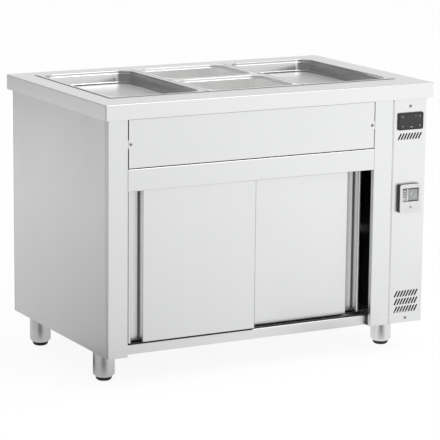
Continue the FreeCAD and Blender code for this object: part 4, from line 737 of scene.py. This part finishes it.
def pan_finish(face, low, high):
    """0 for walls and rim, 1 for the flat floor, 2 for the painted shade lines round the floor and on the rim's edge.
    """
    centre = face.calc_center_median()
    inward = min(centre.x - low.x, high.x - centre.x, centre.y - low.y, high.y - centre.y)
    if inward < 0.0014 and abs(face.normal.z) < 0.95:
        return 2
    rise = centre.z - low.z
    if rise < 0.0012 and face.normal.z > 0.97:
        return 1
    return 2 if rise < PAN_SHADE_LINE and inward > PAN_RIM and face.normal.z > 0.0 else 0


for name in PANS:
    shape = bmesh.new()
    low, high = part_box(name)
    loft(shape, pan_rings(low, high))
    outward(shape)
    for face in shape.faces:
        face.material_index = pan_finish(face, low, high)
    pan = finished(name + "_drawn", shape, FINISH_OF[name], BODY_OF[name], 40.0)
    pan.data.materials.append(pan_floor_steel)
    pan.data.materials.append(pan_shade_line_steel)
    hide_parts(name)
    keep_flats(pan)


# ======== Repeated pieces

def build_repeat():
    """Geometry Nodes: one copy of a piece on every point, realised and given a finish."""
    tree = bpy.data.node_groups.new("repeat_at_points", "GeometryNodeTree")
    tree.interface.new_socket("Geometry", in_out="INPUT", socket_type="NodeSocketGeometry")
    for label, kind in (("Piece", "NodeSocketObject"), ("Turn", "NodeSocketVector"),
                        ("Finish", "NodeSocketMaterial")):
        tree.interface.new_socket(label, in_out="INPUT", socket_type=kind)
    tree.interface.new_socket("Geometry", in_out="OUTPUT", socket_type="NodeSocketGeometry")
    given, out = tree.nodes.new("NodeGroupInput"), tree.nodes.new("NodeGroupOutput")
    source = node(tree, "GeometryNodeObjectInfo")
    turn = node(tree, "FunctionNodeEulerToRotation")
    copies = node(tree, "GeometryNodeInstanceOnPoints")
    solid = node(tree, "GeometryNodeRealizeInstances")
    painted = node(tree, "GeometryNodeSetMaterial")
    for a, b in ((given.outputs["Piece"], source.inputs["Object"]),
                 (given.outputs["Turn"], turn.inputs[0]),
                 (given.outputs["Geometry"], copies.inputs["Points"]),
                 (source.outputs["Geometry"], copies.inputs["Instance"]),
                 (turn.outputs[0], copies.inputs["Rotation"]),
                 (copies.outputs["Instances"], solid.inputs["Geometry"]),
                 (solid.outputs["Geometry"], painted.inputs["Geometry"]),
                 (given.outputs["Finish"], painted.inputs["Material"]),
                 (painted.outputs["Geometry"], out.inputs["Geometry"])):
        tree.links.new(a, b)
    return tree


REPEAT = build_repeat()


def run_tree(name, mesh, tree, values):
    """Runs a Geometry Nodes tree on a mesh and returns the result as a plain mesh."""
    carrier = placed(name + "_carrier", mesh)
    modifier = carrier.modifiers.new("nodes", "NODES")
    modifier.node_group = tree
    for item in tree.interface.items_tree:
        if item.item_type == "SOCKET" and item.in_out == "INPUT" and item.name in values:
            modifier[item.identifier] = values[item.name]
    depsgraph = bpy.context.evaluated_depsgraph_get()
    made = bpy.data.meshes.new_from_object(carrier.evaluated_get(depsgraph), depsgraph=depsgraph)
    bpy.data.objects.remove(carrier)
    return made


def repeated(name, shape, places, finish, body, turn=(0.0, 0.0, 0.0), crease=32.0):
    """One piece made of copies of a small shape at the given places."""
    crease_edges(shape, crease)
    one = placed(name + "_one", as_mesh(name + "_one", shape))
    spots = bpy.data.meshes.new(name + "_spots")
    spots.from_pydata([tuple(p) for p in places], [], [])
    made = run_tree(name, spots, REPEAT, {"Piece": one, "Turn": turn, "Finish": finish})
    bpy.data.objects.remove(one)
    made.name = name
    return as_piece(name, made, body)


def screw_head(radius, slot_width=0.0011):
    """A low domed head about the origin, facing -Y, with a cross recess pressed into it."""
    shape = bmesh.new()
    steps, rows = 40, 9
    height = radius * 0.50
    grid = []
    for j in range(rows + 1):
        share = j / rows
        r = radius * share
        ring = []
        for i in range(steps):
            angle = 2 * math.pi * i / steps
            x, z = r * math.cos(angle), r * math.sin(angle)
            y = -height * math.sqrt(max(1.0 - share ** 2.4, 0.0))
            reach = max(abs(x), abs(z))
            if min(abs(x), abs(z)) < slot_width / 2 and reach < radius * 0.62:
                y += height * 0.55 * min(1.0, (radius * 0.66 - reach) / (radius * 0.2))
            ring.append((x, y, z))
        grid.append(ring)
    centre = shape.verts.new((0.0, -height * 0.45, 0.0))
    rings = [[shape.verts.new(p) for p in ring] for ring in grid[1:]]
    for i in range(steps):
        shape.faces.new((centre, rings[0][i], rings[0][(i + 1) % steps]))
    for low, high in zip(rings, rings[1:]):
        for i in range(steps):
            j = (i + 1) % steps
            shape.faces.new((low[i], high[i], high[j], low[j]))
    back = [shape.verts.new((v.co.x, 0.0006, v.co.z)) for v in rings[-1]]
    for i in range(steps):
        j = (i + 1) % steps
        shape.faces.new((rings[-1][i], back[i], back[j], rings[-1][j]))
    shape.faces.new(back)
    return outward(shape)


panel_low, panel_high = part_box("control_panel")
front_y = panel_low.y
fascia_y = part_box("fascia_panel")[0].y

screws = repeated("front_screws", screw_head(0.0050),
                  [(x, front_y, z) for x, z in PANEL_SCREWS] + [(x, fascia_y, z) for x, z in FASCIA_SCREWS],
                  screw_steel, "cabinet")
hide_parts("cover_screws")


def lock_screw():
    """The slotted lock screw of the switch plate."""
    shape = bmesh.new()
    r, front = LOCK_RADIUS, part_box("cover_screws")[0].y
    x, z = LOCK_PLACE
    depth = 0.0022
    turned(shape, (x, front, z), ((0.0, 0.0008), (r * 0.22, 0.0008), (r * 0.28, 0.0), (r * 0.86, 0.0),
                                  (r * 0.97, 0.0003), (r, 0.0006), (r, depth), (0.0, depth)), 40, "Y")
    return finished("lock_screw", shape, screw_steel, "cabinet")


lock_screw()


def slot_shade_collar():
    """A black collar round one leaning vent slot, about the origin; it paints the shade of the slot's edge."""
    shape = bmesh.new()
    half_l, half_h = SLOT_LEAN / 2, SLOT_HEIGHT / 2
    lean = math.atan2(SLOT_LEAN, SLOT_HEIGHT)
    outlines = []
    for radius, y in ((SLOT_WIDTH / 2, 0.0009), (SLOT_WIDTH / 2, -SLOT_PROUD * 0.6),
                      (SLOT_WIDTH / 2 + SLOT_SHADE_COLLAR * 0.35, -SLOT_PROUD), (SLOT_WIDTH / 2 + SLOT_SHADE_COLLAR, 0.0),
                      (SLOT_WIDTH / 2 + SLOT_SHADE_COLLAR, 0.0009)):
        ring = []
        for cx, cz, start in ((half_l, half_h, 0), (-half_l, -half_h, 180)):
            for i in range(7):
                angle = math.radians(start + 180 * i / 6) - lean
                ring.append((cx + radius * math.cos(angle), y, cz + radius * math.sin(angle)))
        outlines.append(ring)
    loft(shape, outlines, wrap=True)
    return outward(shape)


middle_x = middle_of("switch_plate")[0]
# Black collars that paint shade round every vent slot.
repeated("vent_lips", slot_shade_collar(),
         [(middle_x + (i - (SLOT_COLUMNS - 1) / 2) * SLOT_PITCH, front_y, z)
          for z in SLOT_ROWS for i in range(SLOT_COLUMNS)],
         black_plastic, "cabinet")


def vent_baffles():
    """Black plates just behind the two vent fields that paint the shade seen through the slots."""
    shape = bmesh.new()
    half = SLOT_COLUMNS / 2 * SLOT_PITCH
    for rows in (SLOT_ROWS[:1], SLOT_ROWS[1:]):
        block(shape, (middle_x - half, front_y + 0.0016, min(rows) - SLOT_HEIGHT * 0.75),
              (middle_x + half, front_y + 0.0026, max(rows) + SLOT_HEIGHT * 0.75))
    finished("vent_baffles", shape, black_plastic, "cabinet")


vent_baffles()


def low_guides():
    """Guide strips cut down to the thin line of the photograph; the solid strips reach into the doors' grooves."""
    low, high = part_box("bottom_guides")
    shape = bmesh.new()
    shape.from_mesh(frame["nodes"]["bottom_guides"].data)
    for vert in shape.verts:
        if vert.co.z > (low.z + high.z) / 2:
            vert.co.z = low.z + GUIDE_SHOWN
    guides = finished("guide_strips", shape, black_plastic, "cabinet")
    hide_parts("bottom_guides")


low_guides()


def seam_bead():
    """Sealant bead in the joint between the right post and the control panel."""
    gap_low, gap_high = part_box("right_front_post")[1].x, panel_low.x
    shape = bmesh.new()
    block(shape, (gap_low - 0.0002, front_y + 0.0004, panel_low.z + 0.002),
          (gap_high + 0.0002, front_y + 0.0020, panel_high.z - 0.002))
    finished("seam_bead", shape, plate_plastic, "cabinet")


seam_bead()


def door_sweep(side):
    """Black rubber sweep along the lower front edge of a door; how far it hangs below the door paints the dark shade
    line under it.
    """
    low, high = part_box("door_skin_" + side)
    shape = bmesh.new()
    block(shape, (low.x + SWEEP_END, low.y + SWEEP_FRONT, low.z - SWEEP_SHADE_REACH[side]),
          (high.x - SWEEP_END, low.y + SWEEP_BACK, low.z + 0.0004))
    soften(finished("door_sweep_" + side, shape, tread_rubber, BODY_OF["door_skin_" + side]), 0.0006)


def door_shade_strips(side):
    """Dark grey strips that paint shade lines: in the inner corner of a door's pull recess and, on the left door,
    along its inner end.
    """
    low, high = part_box("door_skin_" + side)
    corner = low.x + DOOR_BEAD + PULL_WIDTH if side == "left" else high.x - DOOR_BEAD
    bottom, top = low.z + SHADE_STRIP_END, high.z - SHADE_STRIP_END
    shape = bmesh.new()
    block(shape, (corner - SHADE_STRIP_WIDTH, low.y + PULL_DEPTH - 0.0008, bottom),
          (corner + 0.0002, low.y + PULL_DEPTH + 0.0004, top))
    if side == "left":
        block(shape, (high.x - 0.0010, low.y + 0.0016, bottom), (high.x + 0.0008, low.y + 0.0056, top))
    finished("door_seals_" + side, shape, shade_strip_rubber, BODY_OF["door_skin_" + side])


for add_to_door in (door_sweep, door_shade_strips):
    for side in ("left", "right"):
        add_to_door(side)


def thread_ring():
    """One turn of a foot spindle's thread, about the origin."""
    shape = bmesh.new()
    half = THREAD_PITCH / 2
    loft(shape, [circle(radius, z, 28) for radius, z in (
        (THREAD_ROOT, -half), (THREAD_RADIUS, -THREAD_CREST), (THREAD_RADIUS, THREAD_CREST), (THREAD_ROOT, half))])
    return outward(shape)


for place in FEET:
    name = "foot_insert_" + place
    x, y, _ = middle_of(name)
    shape = bmesh.new()
    turned(shape, (x, y, 0.0), PAD_PROFILE, 56)
    pad = finished("foot_pad_" + place, shape, tread_rubber, name, 50.0)
    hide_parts(name)
    shape = bmesh.new()
    turned(shape, (x, y, 0.0), SPINDLE_PROFILE, 40)
    finished("foot_spindle_" + place, shape, zinc_steel, name, 40.0)
    repeated("foot_thread_" + place, thread_ring(),
             [(x, y, THREAD_START + i * THREAD_PITCH) for i in range(THREAD_TURNS)],
             zinc_steel, name)


# ======== Control column

def ring_segment(shape, centre, inner, outer, y0, y1, steps=28):
    """A flat washer facing -Y."""
    rows = []
    for radius, y in ((inner, y1), (inner, y0), (outer, y0), (outer, y1)):
        rows.append([Vector((centre[0] + radius * math.cos(2 * math.pi * i / steps), y,
                             centre[1] + radius * math.sin(2 * math.pi * i / steps))) for i in range(steps)])
    loft(shape, rows, wrap=True)


def slanted_bar(shape, x, z, width, height, lean, y0, y1):
    """A leaning flat stroke."""
    corners = [(x - width / 2 - lean / 2, z - height / 2), (x + width / 2 - lean / 2, z - height / 2),
               (x + width / 2 + lean / 2, z + height / 2), (x - width / 2 + lean / 2, z + height / 2)]
    loft(shape, [[Vector((a, y, b)) for a, b in corners] for y in (y0, y1)])


def display_marks():
    """Small generic signs on the controller's window: two arrows, a dot, dashes."""
    low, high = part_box("controller_window")
    front = low.y
    y0, y1 = front - 0.00022, front + 0.0001
    wide, tall = high.x - low.x, high.z - low.z
    shape = bmesh.new()

    def at(u, v):
        return low.x + u * wide, low.z + v * tall
    for u, v, w, h in ((0.13, 0.82, 0.0070, 0.0016), (0.90, 0.80, 0.0050, 0.0016), (0.53, 0.10, 0.0100, 0.0014)):
        x, z = at(u, v)
        slanted_bar(shape, x, z, w, h, 0.0, y0, y1)
    x, z = at(0.71, 0.84)
    turned(shape, (x, y0, z), ((0.0, 0.0), (0.0013, 0.0), (0.0013, y1 - y0), (0.0, y1 - y0)), 20, "Y")
    for u, v, way in ((0.15, 0.15, -1), (0.90, 0.18, 1)):
        x, z = at(u, v)
        arrow = [(x - 0.0022, z - way * 0.0016), (x + 0.0022, z - way * 0.0016), (x, z + way * 0.0020)]
        loft(shape, [[Vector((a, y, b)) for a, b in arrow] for y in (y0, y1)])
    finished("display_marks", shape, mark_paint, "cabinet")


def readout():
    """A slightly raised, darker readout glass in the middle of the window."""
    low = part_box("controller_window")[0]
    middle, _, rise = middle_of("controller_window")
    shape = bmesh.new()
    block(shape, (middle - 0.0265, low.y - 0.00018, rise - 0.0105), (middle + 0.0265, low.y + 0.0002, rise + 0.0105))
    soften(finished("readout_glass", shape, window_plastic, "cabinet"), 0.00008)


def rocker():
    """Rocker paddle with a dished face, in the tilted rest position, and its strokes."""
    low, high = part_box("switch_rocker")
    middle, pivot, rise = middle_of("switch_rocker")
    half, tall = ROCKER_WIDTH / 2, ROCKER_HEIGHT / 2
    front, back = low.y, high.y
    shape = bmesh.new()
    sections = []
    steps = 12
    profile = []
    for i in range(steps + 1):
        share = i / steps
        z = rise - tall + share * 2 * tall
        y = front + (back - 0.0035 - front) * 0.5 * share ** 1.15 + 0.0012 * math.sin(math.pi * share)
        profile.append((y, z))
    outline = profile + [(profile[-1][0] + 0.0028, rise + tall * 0.92), (back - 0.0012, rise + tall * 0.35),
                         (back - 0.0012, rise - tall * 0.35), (profile[0][0] + 0.0060, rise - tall * 0.92)]
    for x in (middle - half, middle - half + 0.0008, middle + half - 0.0008, middle + half):
        sections.append([Vector((x, y, z)) for y, z in outline])
    loft(shape, sections)
    paddle = finished("rocker_paddle", shape, rocker_plastic, "switch_rocker", 28.0)
    soften(paddle, 0.0007, 2, 40.0)
    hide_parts("switch_rocker")
    pin = bmesh.new()
    for side in (-1, 1):
        x = middle + side * (half + 0.0008)
        block(pin, (x - 0.0012, pivot - 0.0012, rise - 0.0012), (x + 0.0012, pivot + 0.0012, rise + 0.0012))
    finished("rocker_pin", pin, rocker_plastic, "switch_rocker")
    strokes = bmesh.new()
    for share, x, height in ((0.60, middle - 0.0050, 0.0115), (0.40, middle + 0.0062, 0.0100)):
        i = int(share * steps)
        y, z = profile[i]
        slope = (profile[i + 1][0] - profile[i - 1][0]) / (profile[i + 1][1] - profile[i - 1][1])
        width, lean = 0.0024, 0.0045
        corners = []
        for a, b in ((-width / 2 - lean / 2, -height / 2), (width / 2 - lean / 2, -height / 2),
                     (width / 2 + lean / 2, height / 2), (-width / 2 + lean / 2, height / 2)):
            corners.append((x + a, y + slope * b, z + b))
        loft(strokes, [[Vector((a, b + shift, c)) for a, b, c in corners] for shift in (-0.0003, 0.0006)])
    finished("rocker_strokes", strokes, mark_paint, "switch_rocker")


def lamp():
    """Domed lens in a collar, with the embossed bars under it."""
    low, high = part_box("pilot_lamp")
    x, _, z = middle_of("pilot_lamp")
    radius = (high.x - low.x) / 2
    front, back = low.y, high.y
    shape = bmesh.new()
    profile = [(0.0, 0.0)]
    for i in range(1, 9):
        angle = math.radians(90 * i / 8)
        profile.append(((radius - 0.0006) * math.sin(angle), (radius - 0.0006) * (1 - math.cos(angle)) * 0.9))
    profile += [(radius - 0.0006, back - front), (0.0, back - front)]
    turned(shape, (x, front, z), profile, 36, "Y")
    lens = finished("lamp_lens", shape, lens_plastic, "cabinet")
    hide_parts("pilot_lamp")
    collar = bmesh.new()
    ring_segment(collar, (x, z), radius - 0.0006, radius + 0.0010, back - 0.0032, back)
    finished("lamp_collar", collar, device_plastic, "cabinet")
    bars = bmesh.new()
    for i, length in enumerate((0.0120, 0.0095, 0.0120)):
        z1 = z - radius - 0.0055 - i * 0.0052
        block(bars, (x - 0.0058, back - 0.0010, z1 - 0.0009), (x - 0.0058 + length, back, z1 + 0.0009))
    soften(finished("lamp_bars", bars, device_plastic, "cabinet"), 0.0003)
    card = bmesh.new()
    block(card, (x - radius - 0.0020, back - 0.0006, z - 0.0320), (x + 0.0072, back + 0.0002, z + radius + 0.0012))
    soften(finished("lamp_card", card, plate_plastic, "cabinet"), 0.0003)


display_marks()
readout()
rocker()
lamp()


# ======== Back and underside

back_low, back_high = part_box("back_panel")
left, right = back_low.x + BACK_SCREW_SIDE, back_high.x - BACK_SCREW_SIDE
bottom, top = back_low.z + BACK_SCREW_END, back_high.z - BACK_SCREW_END
back_places = [(left + i * (right - left) / 8, back_high.y, z) for i in range(9) for z in (bottom, top)]
back_places += [(x, back_high.y, bottom + i * (top - bottom) / 6) for i in range(1, 6) for x in (left, right)]
repeated("back_screws", screw_head(0.0040), back_places, screw_steel, "cabinet",
         turn=(0.0, 0.0, math.pi))


def plate_bolts():
    """Hexagon bolts that hold the foot plates, seen from below."""
    shape = bmesh.new()
    loft(shape, [circle(radius, z, 6) for radius, z in BOLT_PROFILE])
    places = []
    plate_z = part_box("foot_tubes")[1].z - FOOT_PLATE
    for place in FEET:
        x, y, _ = middle_of("foot_insert_" + place)
        places += [(x + sx * BOLT_SPREAD, y + sy * BOLT_SPREAD, plate_z) for sx in (-1, 1) for sy in (-1, 1)]
    repeated("foot_bolts", outward(shape), places, zinc_steel, "cabinet")


plate_bolts()


# ======== Studio

def build_world():
    """White to the camera; for metal, bright in front, right and overhead, dim to the left."""
    world = bpy.data.worlds.new("studio")
    bpy.context.scene.world = world
    world.use_nodes = True
    tree = world.node_tree
    tree.nodes.clear()
    out = node(tree, "ShaderNodeOutputWorld")
    background = node(tree, "ShaderNodeBackground")
    ray = node(tree, "ShaderNodeLightPath")
    way = node(tree, "ShaderNodeTexCoord")
    parts = node(tree, "ShaderNodeSeparateXYZ")
    tree.links.new(way.outputs["Generated"], parts.inputs[0])
    leftward = dot(tree, way.outputs["Generated"], (-0.97, -0.20, 0.0))
    side = remap(tree, leftward, -0.05, 0.28, 1.0, DARK_SIDE_LEVEL)
    overhead = remap(tree, parts.outputs["Z"], 0.35, 0.75, 0.0, 1.0)
    level = maths(tree, "ADD", side, times(tree, overhead, maths(tree, "SUBTRACT", 0.92, side)))
    seen = maths(tree, "MAXIMUM", ray.outputs["Is Camera Ray"], ray.outputs["Is Transmission Ray"])
    plain = times(tree, maths(tree, "SUBTRACT", 1.0, ray.outputs["Is Glossy Ray"]), SKY_LEVEL)
    glossy = times(tree, times(tree, ray.outputs["Is Glossy Ray"], level), 0.8)
    lit = maths(tree, "ADD", plain, glossy)
    background.inputs["Color"].default_value = (1.0, 1.0, 1.0, 1.0)
    tree.links.new(maths(tree, "MAXIMUM", lit, seen), background.inputs["Strength"])
    tree.links.new(background.outputs["Background"], out.inputs["Surface"])


def painted_floor_shade(tree, level, place, spots):
    """Paints shade on the floor for metal to reflect: lowers a floor level towards the given soft spots, each (x, y,
    inner radius, outer radius, share left).
    """
    for x, y, inner, outer, share in spots:
        away = node(tree, "ShaderNodeVectorMath", operation="DISTANCE")
        tree.links.new(place, away.inputs[0])
        away.inputs[1].default_value = (x, y, 0.0)
        level = times(tree, level, remap(tree, away.outputs["Value"], inner, outer, share, 1.0))
    return level


def build_floor():
    shape = bmesh.new()
    half = FLOOR_SIZE / 2
    shape.faces.new([shape.verts.new(p) for p in ((-half, -half, 0), (half, -half, 0), (half, half, 0),
                                                  (-half, half, 0))])
    mesh = as_mesh("studio_floor", shape)
    placed("studio_floor", mesh)
    paint, tree, shader = blank("floor_paint")
    tree.nodes.remove(shader)
    out = tree.nodes["Material Output"]
    ray = node(tree, "ShaderNodeLightPath")
    place = object_place(tree)
    # For glossy rays the floor carries painted shade and light: darker to the back-left and round the shade spots,
    # brighter to the front-right.
    share = remap(tree, dot(tree, place, (0.66, -0.75, 0.0)), -0.30, 0.40, 0.0, 1.0)
    length = node(tree, "ShaderNodeVectorMath", operation="LENGTH")
    tree.links.new(place, length.inputs[0])
    far = length.outputs["Value"]
    left = remap(tree, far, 0.6, 4.0, 0.60, 0.98)
    left = times(tree, left, remap(tree, dot(tree, place, (1.84, 1.0, 0.0)), -1.35, -0.75, 0.74, 1.02))
    left = times(tree, left, remap(tree, far, 5.0, 8.0, 1.0, 0.2))
    right = remap(tree, far, 0.6, 3.5, 0.80, 1.0)
    right = times(tree, right, remap(tree, dot(tree, place, (1.0, 0.544, 0.0)), -0.70, 0.30, 0.99, 1.20))
    level = maths(tree, "ADD", left, times(tree, share, maths(tree, "SUBTRACT", right, left)))
    level = painted_floor_shade(tree, level, place, FLOOR_SHADE_SPOTS)
    seen = maths(tree, "MAXIMUM", ray.outputs["Is Camera Ray"], ray.outputs["Is Transmission Ray"])
    white = 1.0 - FLOOR_SHADOW_SHARE * 0.88 * FLOOR_OPEN_LIGHT
    shadowless = maths(tree, "ADD", times(tree, seen, white),
                       times(tree, times(tree, ray.outputs["Is Glossy Ray"], level), 0.83))
    direct = maths(tree, "MAXIMUM", seen, ray.outputs["Is Glossy Ray"])
    weight = maths(tree, "SUBTRACT", 1.0, times(tree, direct, 1.0 - FLOOR_SHADOW_SHARE))
    colour = node(tree, "ShaderNodeCombineColor")
    for i in range(3):
        tree.links.new(times(tree, weight, 0.88), colour.inputs[i])
    matt = node(tree, "ShaderNodeBsdfDiffuse")
    glow = node(tree, "ShaderNodeEmission")
    both = node(tree, "ShaderNodeAddShader")
    tree.links.new(colour.outputs["Color"], matt.inputs["Color"])
    tree.links.new(shadowless, glow.inputs["Strength"])
    tree.links.new(matt.outputs["BSDF"], both.inputs[0])
    tree.links.new(glow.outputs["Emission"], both.inputs[1])
    tree.links.new(both.outputs["Shader"], out.inputs["Surface"])
    mesh.materials.append(paint)


def add_light(name, place, size, power, aim=(0.0, 0.0, 0.45)):
    data = bpy.data.lights.new(name, "AREA")
    data.shape = "SQUARE"
    data.size = size
    data.energy = power
    lamp_object = placed(name, data)
    lamp_object.location = place
    lamp_object.rotation_mode = "QUATERNION"
    lamp_object.rotation_quaternion = (Vector(aim) - Vector(place)).to_track_quat("-Z", "Y")


def add_camera():
    data = bpy.data.cameras.new("camera")
    data.lens = CAMERA_LENS
    data.sensor_width = CAMERA_SENSOR
    data.clip_start, data.clip_end = 0.1, 100.0
    camera = placed("camera", data)
    right, up = Vector(CAMERA_RIGHT), Vector(CAMERA_UP)
    back = right.cross(up)
    turn = Matrix((right, up, back)).transposed().to_4x4()
    camera.matrix_world = Matrix.Translation(CAMERA_PLACE) @ turn
    bpy.context.scene.camera = camera


build_world()
build_floor()
add_light("key_light", KEY_PLACE, KEY_SIZE, KEY_POWER)
add_light("overhead_light", TOP_PLACE, TOP_SIZE, TOP_POWER, aim=(0.0, 0.0, 0.8))
add_camera()
bpy.context.scene.view_settings.view_transform = "Standard"
bpy.context.scene.cycles.glossy_bounces = 8
